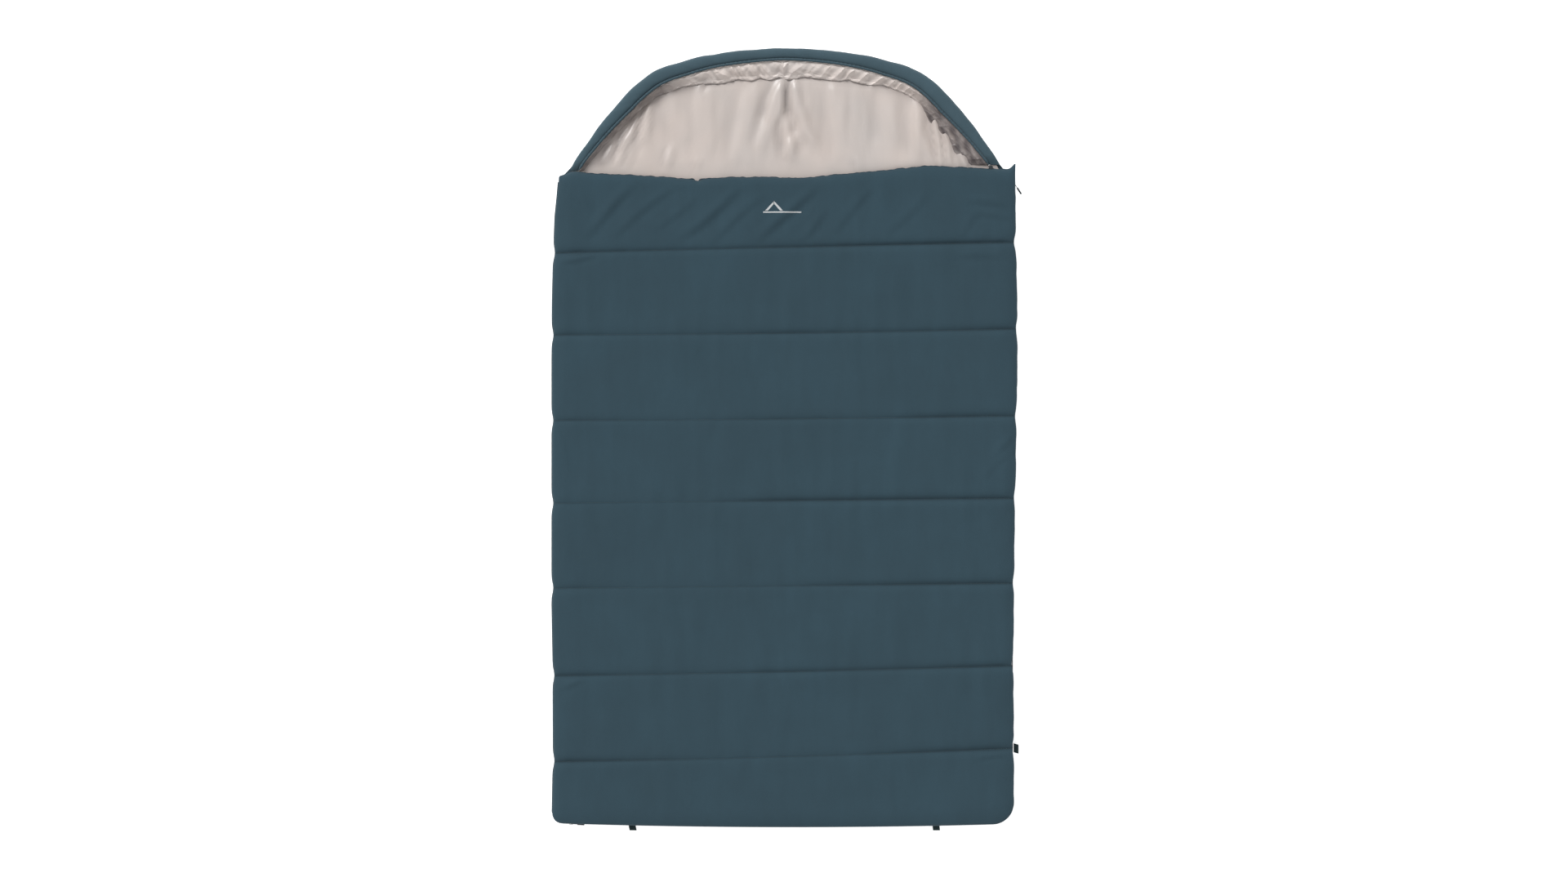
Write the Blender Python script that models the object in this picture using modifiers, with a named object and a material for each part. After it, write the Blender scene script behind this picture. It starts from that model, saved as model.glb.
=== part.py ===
"""Double hooded sleeping bag that unzips into a quilt, modelled as its separate pieces.

The bag lies flat on its back: the head is at +Y, the foot at -Y and the zip along +X.
Two quilts face each other across the seam plane. The base quilt lies on the ground and
runs on past the mouth as the hood. The upper quilt turns about the left seam.
"""

import math

import bmesh
import bpy
import numpy as np
from mathutils import Matrix, Vector

COLLECTION = "camp_quilt"

# Outline, in metres
LEFT_X = -0.7051
RIGHT_X = 0.6880
FOOT_Y = -1.1600
MOUTH_Y = 0.8000
HOOD_TOP_Y = 1.1785
CORNER_LEFT = 0.030
CORNER_RIGHT = 0.060
SHOULDER_Y = 0.785
# right half of the hood's outline, from its end at the mouth to the crown of the head
HOOD_HALF = ((0.657, 0.803), (0.622, 0.862), (0.527, 0.990), (0.416, 1.098),
             (0.285, 1.146), (0.150, 1.169), (0.0, HOOD_TOP_Y))

# Heights from the seam plane, which holds the zip's chain and the left seam
SEAM_Z = 0.0385
UPPER_CROWN = 0.0378
BASE_CROWN = SEAM_Z
EDGE_RISE = 0.0190
OVERHANG_RISE = 0.0155
RECESS_RISE = 0.0145
LINING_FACE = 0.0042
LINING_THICK = 0.0012
EDGE_ROUND = 0.055

# Cloth and clearances
SKIN = 0.0012
FIT = 0.0003
FILL_GAP = 0.0027
ZIP_RECESS = 0.0085

# Quilting
STITCH_LINES = 7
FIRST_STITCH_Y = 0.5770
STITCH_PITCH = 0.2552
STITCH_DEPTH = 0.009
STITCH_REACH = 0.025
EDGE_STEPS = (0.0, 0.006, 0.022, EDGE_ROUND)
MIDDLE_COLUMNS = 5

# Zip
TAPE_THICK = 0.0008
TAPE_FROM = 0.0041
TAPE_TO = 0.0135
COIL_RADIUS = 0.0015
COIL_RISE = 0.0023
ZIP_HEAD_Y = 0.783
ZIP_END_X = LEFT_X + 0.045
PLATE = Vector((0.012, 0.0015, 0.0082))
PLATE_GAP = COIL_RADIUS + FIT
TAB_AXIS = 0.0016
TAB_TONGUE = 0.024
GRIP_LENGTH = 0.022
SIDE_TAB_ANGLE = math.radians(33)
FOOT_TAB_ANGLE = math.radians(176)
SIDE_SLIDER_Y = 0.772
FOOT_SLIDER_X = ZIP_END_X + 0.012
STOP_HALF = 0.0016
STOP_LENGTH = 0.003
BRIDGE_X = 0.0046
BRIDGE_RISE = 0.0030
BRIDGE_THICK = 0.0011
TAB_HALF = Vector((0.0, 0.0006, 0.0037))
GRIP_HALF = Vector((0.0, 0.0021, 0.0048))
GRIP_LAP = 0.006
GRIP_TAPER = 0.62
PIPING_RADIUS = 0.0023
PIPING_OUT = 0.0004

# Hood rim
RIM_BASE_Z = SEAM_Z - LINING_FACE + FIT
RIM_STATIONS = 27
RIM_BAND = 0.036
RIM_END_TURN = 0.16
RIM_START = 0.026
RIM_STOP = 0.006
CHANNEL_RADIUS = 0.0040
CHANNEL_LIFT = 0.0027
CORD_RADIUS = 0.0018
LOCK_TRAVEL = 0.0026
BARREL_RADIUS = 0.0062
BARREL_BORE = 0.0046
BARREL_BRIM = 0.0038
STEM_RADIUS = 0.0042
HEAD_RADIUS = 0.0056
SPRING_RADIUS = 0.0034
SPRING_WIRE = 0.0003
SPRING_STEPS = 32

# Webbing loops
LOOP_WIDTH = 0.022
LOOP_REACH = 0.0176
LOOP_GAP = 0.0055
WEBBING = 0.0014
LOOP_Z = 0.0195
SIDE_LOOP_Y = -0.930
SIDE_LOOP_WIDTH = 0.028
SIDE_LOOP_REACH = 0.0105
HANG_LOOPS_X = {"left": -0.467, "right": 0.450}

SHELL_TEAL = (0.043, 0.074, 0.093)
RIM_TEAL = (0.060, 0.096, 0.120)
LINING_SAND = (0.640, 0.575, 0.535)
FILL_WHITE = (0.800, 0.800, 0.780)
WEBBING_BLACK = (0.019, 0.036, 0.042)
TAPE_DARK = (0.026, 0.046, 0.056)
NYLON_DARK = (0.020, 0.034, 0.040)
ZINC_DARK = (0.050, 0.054, 0.058)
STEEL = (0.550, 0.560, 0.570)
PRINT_GREY = (0.620, 0.640, 0.650)


def clear_scene():
    """Removes every object the scene starts with."""
    for thing in list(bpy.data.objects):
        bpy.data.objects.remove(thing, do_unlink=True)


def make_collection(name):
    """A collection linked to the scene."""
    group = bpy.data.collections.new(name)
    bpy.context.scene.collection.children.link(group)
    return group


def make_material(name, colour, roughness, metallic=0.0):
    """A plain Principled finish."""
    material = bpy.data.materials.new(name)
    material.use_nodes = True
    shader = material.node_tree.nodes["Principled BSDF"]
    shader.inputs["Base Color"].default_value = (*colour, 1.0)
    shader.inputs["Roughness"].default_value = roughness
    shader.inputs["Metallic"].default_value = metallic
    return material


def add_object(name, data, finish, group):
    """An object in the group that carries a finish given as (colour, roughness, metallic)."""
    thing = bpy.data.objects.new(name, data)
    data.materials.append(make_material(name + "_finish", *finish))
    group.objects.link(thing)
    return thing


def add_bmesh(name, bm, finish, group, outward=None):
    """Turns a bmesh into an object with its faces pointing out.

    An open sheet has no outside of its own, so it says which way it faces.
    """
    bmesh.ops.recalc_face_normals(bm, faces=bm.faces)
    if outward is None:
        facing = bm.calc_volume(signed=True)
    else:
        normals = sum((face.normal * face.calc_area() for face in bm.faces), Vector())
        facing = normals.dot(Vector(outward))
    if facing < 0.0:
        bmesh.ops.reverse_faces(bm, faces=bm.faces)
    mesh = bpy.data.meshes.new(name)
    bm.to_mesh(mesh)
    bm.free()
    mesh.shade_smooth()
    mesh.set_sharp_from_angle(angle=math.radians(40))
    return add_object(name, mesh, finish, group)


def add_wall(thing, thickness):
    """Gives an open sheet its thickness, on the inner side."""
    wall = thing.modifiers.new("wall", "SOLIDIFY")
    wall.thickness = thickness
    wall.offset = -1.0
    wall.use_even_offset = True
    return thing


def cut(thing, cutter, cutters):
    """Cuts a hidden cutter out of a piece."""
    cutters.objects.link(cutter)
    cutter.hide_render = True
    cutter.display_type = "WIRE"
    hole = thing.modifiers.new("cut_" + cutter.name, "BOOLEAN")
    hole.operation = "DIFFERENCE"
    hole.object = cutter


def smooth_through(points, steps):
    """A Catmull-Rom curve through the points, with so many steps between each pair."""
    knots = np.array(points, dtype=float)
    knots = np.vstack([2 * knots[0] - knots[1], knots, 2 * knots[-1] - knots[-2]])
    t = np.linspace(0.0, 1.0, steps, endpoint=False)[:, None]
    runs = []
    for before, start, end, after in zip(knots, knots[1:], knots[2:], knots[3:]):
        runs.append(0.5 * (2 * start + (end - before) * t
                           + (2 * before - 5 * start + 4 * end - after) * t ** 2
                           + (3 * start - before - 3 * end + after) * t ** 3))
    return np.vstack([*runs, knots[-2:-1]])


def round_over(distance):
    """Quarter-round rise from 0 at an edge to 1 beyond the rounded border."""
    inside = min(max(distance / EDGE_ROUND, 0.0), 1.0)
    return math.sqrt(1.0 - (1.0 - inside) ** 2)


HOOD_CURVE = smooth_through(HOOD_HALF, 12)
STITCHES = [FIRST_STITCH_Y - STITCH_PITCH * line for line in range(STITCH_LINES)]


def side_edges(y, inset, hooded=False):
    """The outline's left and right edge in the row at y, and the row's own place.

    Both zipped sides, the right and the foot, are drawn in by the inset. The foot corners
    are quarter rounds, and past the shoulder the base quilt's edges follow the hood.
    """
    if hooded and y > SHOULDER_Y:
        half = float(np.interp(y, HOOD_CURVE[:, 1], HOOD_CURVE[:, 0]))
        return -half, half, y
    corner_y = FOOT_Y + CORNER_RIGHT
    turn = min(max((corner_y - y) / CORNER_RIGHT, 0.0), 1.0)
    row = y if turn == 0.0 else corner_y - (CORNER_RIGHT - inset) * turn
    right = RIGHT_X - inset - (CORNER_RIGHT - inset) * (1.0 - math.sqrt(1.0 - turn ** 2))
    drop = max(FOOT_Y + CORNER_LEFT - row, 0.0) / (CORNER_LEFT - inset)
    left = LEFT_X + CORNER_LEFT * (1.0 - math.sqrt(max(1.0 - drop ** 2, 0.0)))
    return left, right, row


def across(left, right, column, shrink):
    """The column's x: close steps along both edges and even ones between them."""
    steps = len(EDGE_STEPS)
    last = 2 * steps + MIDDLE_COLUMNS - 1
    if column < steps:
        return left + shrink + EDGE_STEPS[column]
    if last - column < steps:
        return right - shrink - EDGE_STEPS[last - column]
    part = (column - steps + 1) / (MIDDLE_COLUMNS + 1)
    start = left + shrink + EDGE_STEPS[-1]
    return start + part * (right - left - 2 * shrink - 2 * EDGE_STEPS[-1])


def edge_distance(column):
    """How far a column lies from the nearer side edge."""
    last = 2 * len(EDGE_STEPS) + MIDDLE_COLUMNS - 1
    step = min(column, last - column, len(EDGE_STEPS) - 1)
    return EDGE_STEPS[step]


def padded_panel(name, rows, side, shrink, finish, group):
    """A quilt's shell or fill: a crowned grid whose border drops in rings to the inner edge.

    side is +1 for the stitched upper quilt and -1 for the base with its hood. shrink draws
    the fill, a closed solid, in from its shell, an open sheet with a wall. The rings are
    the overhang's lip, the recess for the zip and the inner edge.
    """
    crown = UPPER_CROWN if side > 0 else BASE_CROWN
    closed = shrink > 0.0
    columns = 2 * len(EDGE_STEPS) + MIDDLE_COLUMNS
    top_y = rows[-1]
    lip = SKIN + FIT if closed else 0.0
    rises = (None, OVERHANG_RISE + lip, RECESS_RISE + lip, LINING_FACE + LINING_THICK + FIT)

    def place(column, row, ring):
        y = rows[row]
        inset = 0.0 if ring < 2 else ZIP_RECESS
        left, right, row_y = side_edges(y, inset, side < 0)
        x = across(left, right, column, shrink)
        row_y += shrink * max(1.0 - (y - FOOT_Y) / CORNER_RIGHT, 0.0)
        if y >= SHOULDER_Y:
            row_y -= 1.5 * shrink
        if ring:
            return x, row_y, SEAM_Z + side * rises[ring]
        border = round_over(edge_distance(column)) * round_over(min(y - FOOT_Y, top_y - y))
        edge_rise = EDGE_RISE - 0.3 * shrink
        rise = edge_rise + (crown - shrink - edge_rise) * border
        if side > 0 and y in STITCHES:
            rise -= STITCH_DEPTH * border
        return x, row_y, SEAM_Z + side * rise

    bm = bmesh.new()
    bmesh.ops.create_grid(bm, x_segments=columns - 1, y_segments=len(rows) - 1, size=0.5)
    for corner in bm.verts:
        corner.co.x = round((corner.co.x + 0.5) * (columns - 1))
        corner.co.y = round((corner.co.y + 0.5) * (len(rows) - 1))
    border = [edge for edge in bm.edges if edge.is_boundary]
    for ring in range(1, len(rises)):
        drawn = bmesh.ops.extrude_edge_only(bm, edges=border)["geom"]
        for part in drawn:
            if isinstance(part, bmesh.types.BMVert):
                part.co.z = ring
        border = [part for part in drawn if isinstance(part, bmesh.types.BMEdge) and part.is_boundary]
    if closed:
        bmesh.ops.contextual_create(bm, geom=border)
    for corner in bm.verts:
        corner.co = place(*(round(value) for value in corner.co))
    if closed:
        return add_bmesh(name, bm, finish, group)
    return add_wall(add_bmesh(name, bm, finish, group, outward=(0.0, 0.0, side)), SKIN)


def formed_sheet(name, columns, rows, place, finish, group, wall=0.0, outward=None):
    """A grid bent by place(u, v): an open sheet with a wall, or a closed tube with caps."""
    bm = bmesh.new()
    bmesh.ops.create_grid(bm, x_segments=columns, y_segments=rows, size=0.5)
    for corner in bm.verts:
        corner.co = place(corner.co.x + 0.5, corner.co.y + 0.5)
    if not wall:
        bmesh.ops.remove_doubles(bm, verts=bm.verts, dist=1e-5)
        bmesh.ops.holes_fill(bm, edges=[edge for edge in bm.edges if edge.is_boundary], sides=0)
    thing = add_bmesh(name, bm, finish, group, outward=outward)
    return add_wall(thing, wall) if wall else thing


def flat_sheet(name, outline, low, high, finish, group):
    """A flat piece of cloth: a closed outline filled and extruded between two heights."""
    curve = bpy.data.curves.new(name, "CURVE")
    curve.dimensions = "2D"
    curve.fill_mode = "BOTH"
    curve.extrude = (high - low) / 2
    spline = curve.splines.new("POLY")
    spline.points.add(len(outline) - 1)
    for point, (x, y) in zip(spline.points, outline):
        point.co = (x, y, 0.0, 1.0)
    spline.use_cyclic_u = True
    thing = add_object(name, curve, finish, group)
    thing.location.z = (low + high) / 2
    return thing


def tube(name, points, radius, finish, group, capped=True):
    """A round piece carried along a polyline."""
    curve = bpy.data.curves.new(name, "CURVE")
    curve.dimensions = "3D"
    curve.bevel_depth = radius
    curve.bevel_resolution = 2
    curve.use_fill_caps = capped
    spline = curve.splines.new("POLY")
    spline.points.add(len(points) - 1)
    for point, place in zip(spline.points, points):
        point.co = (*place, 1.0)
    return add_object(name, curve, finish, group)


def box_into(bm, low, high):
    """Adds a box between two corners to a bmesh."""
    low, high = Vector(low), Vector(high)
    place = Matrix.Translation((low + high) / 2) @ Matrix.Diagonal((*(high - low), 1.0))
    bmesh.ops.create_cube(bm, size=1.0, matrix=place)


def box_object(name, low, high):
    """A box as an unlinked object, used as a cutter or joined to a piece."""
    bm = bmesh.new()
    box_into(bm, low, high)
    mesh = bpy.data.meshes.new(name)
    bm.to_mesh(mesh)
    bm.free()
    return bpy.data.objects.new(name, mesh)


def cylinder_object(name, radius, low, high, centre=(0.0, 0.0), turn=None):
    """A cylinder along Z between two heights, turned by a matrix where one is given."""
    bm = bmesh.new()
    place = Matrix.Translation((*centre, (low + high) / 2))
    if turn is not None:
        place = turn @ place
    bmesh.ops.create_cone(bm, cap_ends=True, segments=20, radius1=radius, radius2=radius,
                          depth=high - low, matrix=place)
    mesh = bpy.data.meshes.new(name)
    bm.to_mesh(mesh)
    bm.free()
    return bpy.data.objects.new(name, mesh)


def bag_outline(inset, edge):
    """The upper quilt's outline, drawn in by the inset at the zip and by edge elsewhere."""
    rows = [FOOT_Y + step for step in (0.0, 0.006, 0.018, 0.030, 0.045, CORNER_RIGHT)]
    rows.append(SHOULDER_Y)
    lefts, rights = [], []
    for y in rows:
        left, right, row_y = side_edges(y, inset)
        lefts.append((left + edge, row_y))
        rights.append((right, row_y))
    rights.append((RIGHT_X - inset, MOUTH_Y - edge))
    lefts.append((LEFT_X + edge, MOUTH_Y - edge))
    return rights + lefts[::-1]


def base_outline(inset, edge):
    """The base quilt's outline: the bag's sides and foot, closed by the hood."""
    body = bag_outline(inset, edge)
    sides = [point for point in body if point[1] <= SHOULDER_Y]
    rights = sides[:len(sides) // 2]
    lefts = sides[len(sides) // 2:]
    hood = [(x, y) for x, y in HOOD_CURVE[::6]]
    hood_right = [(x * (1 - edge / 0.6), y - edge) for x, y in hood]
    hood_left = [(-x, y) for x, y in hood_right[-2::-1]]
    return rights + hood_right + hood_left + lefts


def zip_line(outward):
    """Points down the right side, round the foot corner and along the foot.

    outward is the distance from the quilts' recessed wall.
    """
    radius = CORNER_RIGHT - ZIP_RECESS + outward
    centre = Vector((RIGHT_X - CORNER_RIGHT, FOOT_Y + CORNER_RIGHT))
    points = [(centre.x + radius, ZIP_HEAD_Y)]
    for angle in np.linspace(0.0, math.pi / 2, 13):
        points.append((centre.x + radius * math.cos(angle), centre.y - radius * math.sin(angle)))
    points.append((ZIP_END_X, centre.y - radius))
    return points


def make_base(group):
    """Shell, fill and lining of the quilt that lies on the ground."""
    foot_rows = [FOOT_Y + step for step in (0.0, 0.006, 0.022, 0.040, CORNER_RIGHT)]
    body_rows = [-0.60, 0.0, 0.60, SHOULDER_Y]
    hood_rows = [0.803, 0.862, 0.926, 0.990, 1.046, 1.098, 1.124, 1.146, 1.162, 1.172]
    rows = foot_rows + body_rows + hood_rows
    padded_panel("base_shell", rows, -1, 0.0, (SHELL_TEAL, 0.85), group)
    padded_panel("base_insulation", rows, -1, FILL_GAP, (FILL_WHITE, 0.95), group)
    flat_sheet("base_lining", base_outline(0.014, 0.004), SEAM_Z - LINING_FACE - LINING_THICK,
               SEAM_Z - LINING_FACE, (LINING_SAND, 0.55), group)


def make_upper(group):
    """Shell, fill, lining and trim of the quilt that covers the sleepers."""
    rows = {FOOT_Y + step for step in (0.0, 0.006, 0.022, 0.040, CORNER_RIGHT)}
    rows |= {MOUTH_Y - step for step in EDGE_STEPS}
    limits = [MOUTH_Y, *STITCHES, FOOT_Y]
    for stitch in STITCHES:
        rows |= {stitch - STITCH_REACH, stitch, stitch + STITCH_REACH}
    for above, below in zip(limits[1:-2], limits[2:-1]):
        rows.add((above + below) / 2)
    rows = sorted(rows)
    padded_panel("upper_shell", rows, 1, 0.0, (SHELL_TEAL, 0.85), group)
    padded_panel("upper_insulation", rows, 1, FILL_GAP, (FILL_WHITE, 0.95), group)
    flat_sheet("upper_lining", bag_outline(0.014, 0.001), SEAM_Z + LINING_FACE,
               SEAM_Z + LINING_FACE + LINING_THICK, (LINING_SAND, 0.55), group)
    binding_z = SEAM_Z + LINING_FACE + 2 * LINING_THICK

    def binding(u, v):
        x = LEFT_X + 0.012 + u * (RIGHT_X - LEFT_X - 0.036)
        return x, MOUTH_Y + FIT + 0.001, binding_z + v * 0.0125

    formed_sheet("mouth_binding", 6, 1, binding, (RIM_TEAL, 0.8), group, wall=0.001,
                 outward=(0.0, 1.0, 0.0))
    corner = ((0.6610, MOUTH_Y + 0.0018), (RIGHT_X, MOUTH_Y + 0.0018),
              (RIGHT_X - 0.001, MOUTH_Y + 0.0235), (0.6785, MOUTH_Y + 0.0165))
    flat_sheet("zip_corner_flap", corner, SEAM_Z + 0.0175, SEAM_Z + 0.0191, (RIM_TEAL, 0.8), group)
    half_length = (SHOULDER_Y - FOOT_Y - 2 * CORNER_RIGHT) / 2
    middle_y = (SHOULDER_Y + FOOT_Y + CORNER_RIGHT) / 2

    def draught(u, v):
        angle = 2 * math.pi * u
        return (0.653 + 0.013 * math.cos(angle), middle_y + half_length * (2 * v - 1),
                SEAM_Z + 0.0003 + 0.0034 * math.sin(angle))

    formed_sheet("zip_draught_tube", 12, 1, draught, (LINING_SAND, 0.6), group)


def make_print(group):
    """A plain tent shape on a ground line, printed on the first channel."""
    top = SEAM_Z + UPPER_CROWN
    peak, ground, left, right, line = 0.7150, 0.6800, -0.0700, 0.0450, 0.0040
    tent = ((left, ground), (right, ground), (right, ground + line), (-0.010, ground + line),
            (-0.0375, peak), (-0.065, ground + line), (left, ground + line))
    flat_sheet("printed_mark", tent, top + FIT, top + FIT + 0.0002, (PRINT_GREY, 0.6), group)


def make_left_seam(group):
    """The piping that joins both quilts, on the line they turn about."""
    x = LEFT_X - PIPING_OUT
    ends = ((x, FOOT_Y + CORNER_LEFT + 0.005, SEAM_Z), (x, SHOULDER_Y - 0.01, SEAM_Z))
    tube("left_seam_piping", ends, PIPING_RADIUS, (RIM_TEAL, 0.8), group)


def make_zip_half(name, side, group):
    """Tape, coil and end stops of one half of the zip, above or below the seam plane."""
    middle = FIT + TAPE_THICK / 2
    outer = zip_line(middle + TAPE_THICK / 2)
    low = min(side * TAPE_FROM, side * TAPE_TO)

    def tape(u, v):
        x, y = outer[round(u * (len(outer) - 1))]
        return x, y, SEAM_Z + low + v * (TAPE_TO - TAPE_FROM)

    formed_sheet("zip_tape_" + name, len(outer) - 1, 1, tape, (TAPE_DARK, 0.8), group,
                 wall=TAPE_THICK, outward=(1.0, -1.0, 0.0))
    coil_z = SEAM_Z + side * COIL_RISE
    coil = [(x, y, coil_z) for x, y in zip_line(middle)]
    tube("zip_coil_" + name, coil, COIL_RADIUS, (NYLON_DARK, 0.45), group)
    make_stop("zip_stop_head_" + name, Vector((coil[0][0], coil[0][1] + FIT + STOP_LENGTH / 2, coil_z)),
              Vector((STOP_HALF, STOP_LENGTH / 2, STOP_HALF)), group)
    make_stop("zip_stop_end_" + name, Vector((ZIP_END_X - FIT - STOP_LENGTH / 2, coil[-1][1], coil_z)),
              Vector((STOP_LENGTH / 2, STOP_HALF, STOP_HALF * 0.9)), group)


def make_stop(name, middle, half, group):
    """A metal end stop clamped round one half of the zip."""
    bm = bmesh.new()
    box_into(bm, middle - half, middle + half)
    bmesh.ops.bevel(bm, geom=bm.edges[:], offset=0.0003, segments=1, affect="EDGES")
    add_bmesh(name, bm, (STEEL, 0.35, 1.0), group)


def make_slider(name, place, angle, cutters, group):
    """A zip slider with its pull tab and moulded grip.

    It is drawn with its travel along local X, outward along local Y and the chain's middle
    at the origin; place carries it onto the zip. Two plates hold the coils between them,
    a post parts them, and the tab's crossbar turns under a bridge on the outer plate.
    """
    reach = PLATE_GAP + PLATE.y
    half_x, half_z = PLATE.x / 2, PLATE.z / 2
    bm = bmesh.new()
    box_into(bm, (-half_x, PLATE_GAP, -half_z), (half_x, reach, half_z))
    bmesh.ops.bevel(bm, geom=bm.edges[:], offset=0.0004, segments=1, affect="EDGES")
    body = add_bmesh(name + "_slider_body", bm, (ZINC_DARK, 0.4, 1.0), group)
    post = box_object(name + "_post", (-0.004, -reach + 0.0005, -0.0005),
                      (-0.001, PLATE_GAP + 0.0005, 0.0005))
    back = box_object(name + "_back_plate", (-half_x, -reach, -half_z), (half_x, -PLATE_GAP, half_z))
    leg = BRIDGE_THICK / 2
    top = reach + BRIDGE_RISE + BRIDGE_THICK
    legs = []
    for x in (-BRIDGE_X, BRIDGE_X):
        legs.append(box_object(f"{name}_bridge_leg_{len(legs)}", (x - leg, reach - 0.0005, -0.001),
                               (x + leg, top - 0.0001, 0.001)))
    bar = box_object(name + "_bridge_bar", (-BRIDGE_X - leg, reach + BRIDGE_RISE, -0.001),
                     (BRIDGE_X + leg, top, 0.001))
    for piece in (post, back, *legs, bar):
        cutters.objects.link(piece)
        piece.hide_render = True
        piece.display_type = "WIRE"
        join = body.modifiers.new("join_" + piece.name, "BOOLEAN")
        join.operation = "UNION"
        join.object = piece
        piece.matrix_world = place
    body.matrix_world = place

    pivot = place @ Matrix.Translation((0.0, reach + TAB_AXIS, 0.0)) @ Matrix.Rotation(angle, 4, "Z")
    bm = bmesh.new()
    box_into(bm, (-0.0008, -TAB_HALF.y, -TAB_HALF.z), (TAB_TONGUE, TAB_HALF.y, TAB_HALF.z))
    bmesh.ops.bevel(bm, geom=bm.edges[:], offset=0.0003, segments=1, affect="EDGES")
    tab = add_bmesh(name + "_pull_tab", bm, (ZINC_DARK, 0.35, 1.0), group)
    tab.matrix_world = pivot
    window = box_object(name + "_tab_window", (0.0008, -0.002, -0.0023), (0.0074, 0.002, 0.0023))
    cut(tab, window, cutters)
    window.matrix_world = pivot
    start = TAB_TONGUE - GRIP_LAP
    end = start + GRIP_LENGTH
    bm = bmesh.new()
    box_into(bm, (start, -GRIP_HALF.y, -GRIP_HALF.z), (end, GRIP_HALF.y, GRIP_HALF.z))
    for corner in bm.verts:
        if corner.co.x > (start + end) / 2:
            corner.co.z *= GRIP_TAPER
    bmesh.ops.bevel(bm, geom=bm.edges[:], offset=0.0009, segments=2, affect="EDGES")
    grip = add_bmesh(name + "_pull_grip", bm, (WEBBING_BLACK, 0.6), group)
    grip.matrix_world = pivot
    slot = box_object(name + "_grip_slot", (start - 0.002, -0.0009, -0.0040),
                      (TAB_TONGUE + FIT, 0.0009, 0.0040))
    cut(grip, slot, cutters)
    slot.matrix_world = pivot


def make_loop(name, place, width, reach, group):
    """A folded webbing loop: local X runs along the seam and local Y points outward."""
    half = LOOP_GAP / 2 + WEBBING

    def fold(u, v):
        arc = math.pi * min(max((v - 0.35) / 0.30, 0.0), 1.0) - math.pi / 2
        straight = reach - half
        out = straight * (v / 0.35 if v < 0.35 else (1.0 - v) / 0.35 if v > 0.65 else 1.0)
        if 0.35 <= v <= 0.65:
            out += half * math.cos(arc)
        return place @ Vector(((u - 0.5) * width, out, half * math.sin(arc)))

    formed_sheet(name, 1, 14, fold, (WEBBING_BLACK, 0.75), group, wall=WEBBING,
                 outward=place.to_3x3() @ Vector((0.0, 1.0, 0.0)))


def rim_frames(start, end, count):
    """Points along the hood's outline, right to left, with the way in at each one."""
    right = HOOD_CURVE
    left = right[-2::-1] * (-1.0, 1.0)
    line = np.vstack([right, left])
    steps = np.linalg.norm(np.diff(line, axis=0), axis=1)
    run = np.concatenate([[0.0], np.cumsum(steps)])
    along = np.linspace(start, run[-1] - end, count)
    points = np.stack([np.interp(along, run, line[:, axis]) for axis in (0, 1)], axis=1)
    ahead = np.stack([np.interp(along + 0.02, run, line[:, axis]) for axis in (0, 1)], axis=1)
    behind = np.stack([np.interp(along - 0.02, run, line[:, axis]) for axis in (0, 1)], axis=1)
    way = ahead - behind
    way /= np.linalg.norm(way, axis=1)[:, None]
    inward = np.stack([-way[:, 1], way[:, 0]], axis=1)
    part = np.linspace(0.0, 1.0, count)
    level = np.clip(1.0 - np.minimum(part, 1.0 - part) / RIM_END_TURN, 0.0, 1.0)[:, None]
    sideways = np.stack([np.sign(part - 0.5), np.zeros(count)], axis=1)
    inward = inward * (1.0 - level) + sideways * level
    inward /= np.linalg.norm(inward, axis=1)[:, None]
    return points, inward, part


def rim_size(part):
    """The rim's width and height: widest over the head and low at the mouth."""
    swell = math.sin(math.pi * part)
    return 0.058 + 0.036 * swell, 0.0145 + 0.0175 * min(1.0, 1.8 * swell)


def rim_point(frame, sweep, shrink=0.0, lift=0.0):
    """A point of the rim's dome: sweep runs from 0 at the outer edge to pi at the inner."""
    (point, inward, part) = frame
    width, height = rim_size(part)
    across_rim = width / 2 - (width / 2 - shrink) * math.cos(sweep)
    rise = (height - shrink) * math.sin(sweep) ** 0.8 if 0.0 < sweep < math.pi else 0.0
    x, y = point + inward * across_rim
    return Vector((x, y, RIM_BASE_Z + rise + lift))


def channel_sweep(part):
    """Where the drawcord channel lies on the dome, a fixed band in from the outer edge."""
    width, _ = rim_size(part)
    return math.acos(1.0 - 2.0 * RIM_BAND / width)


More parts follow.
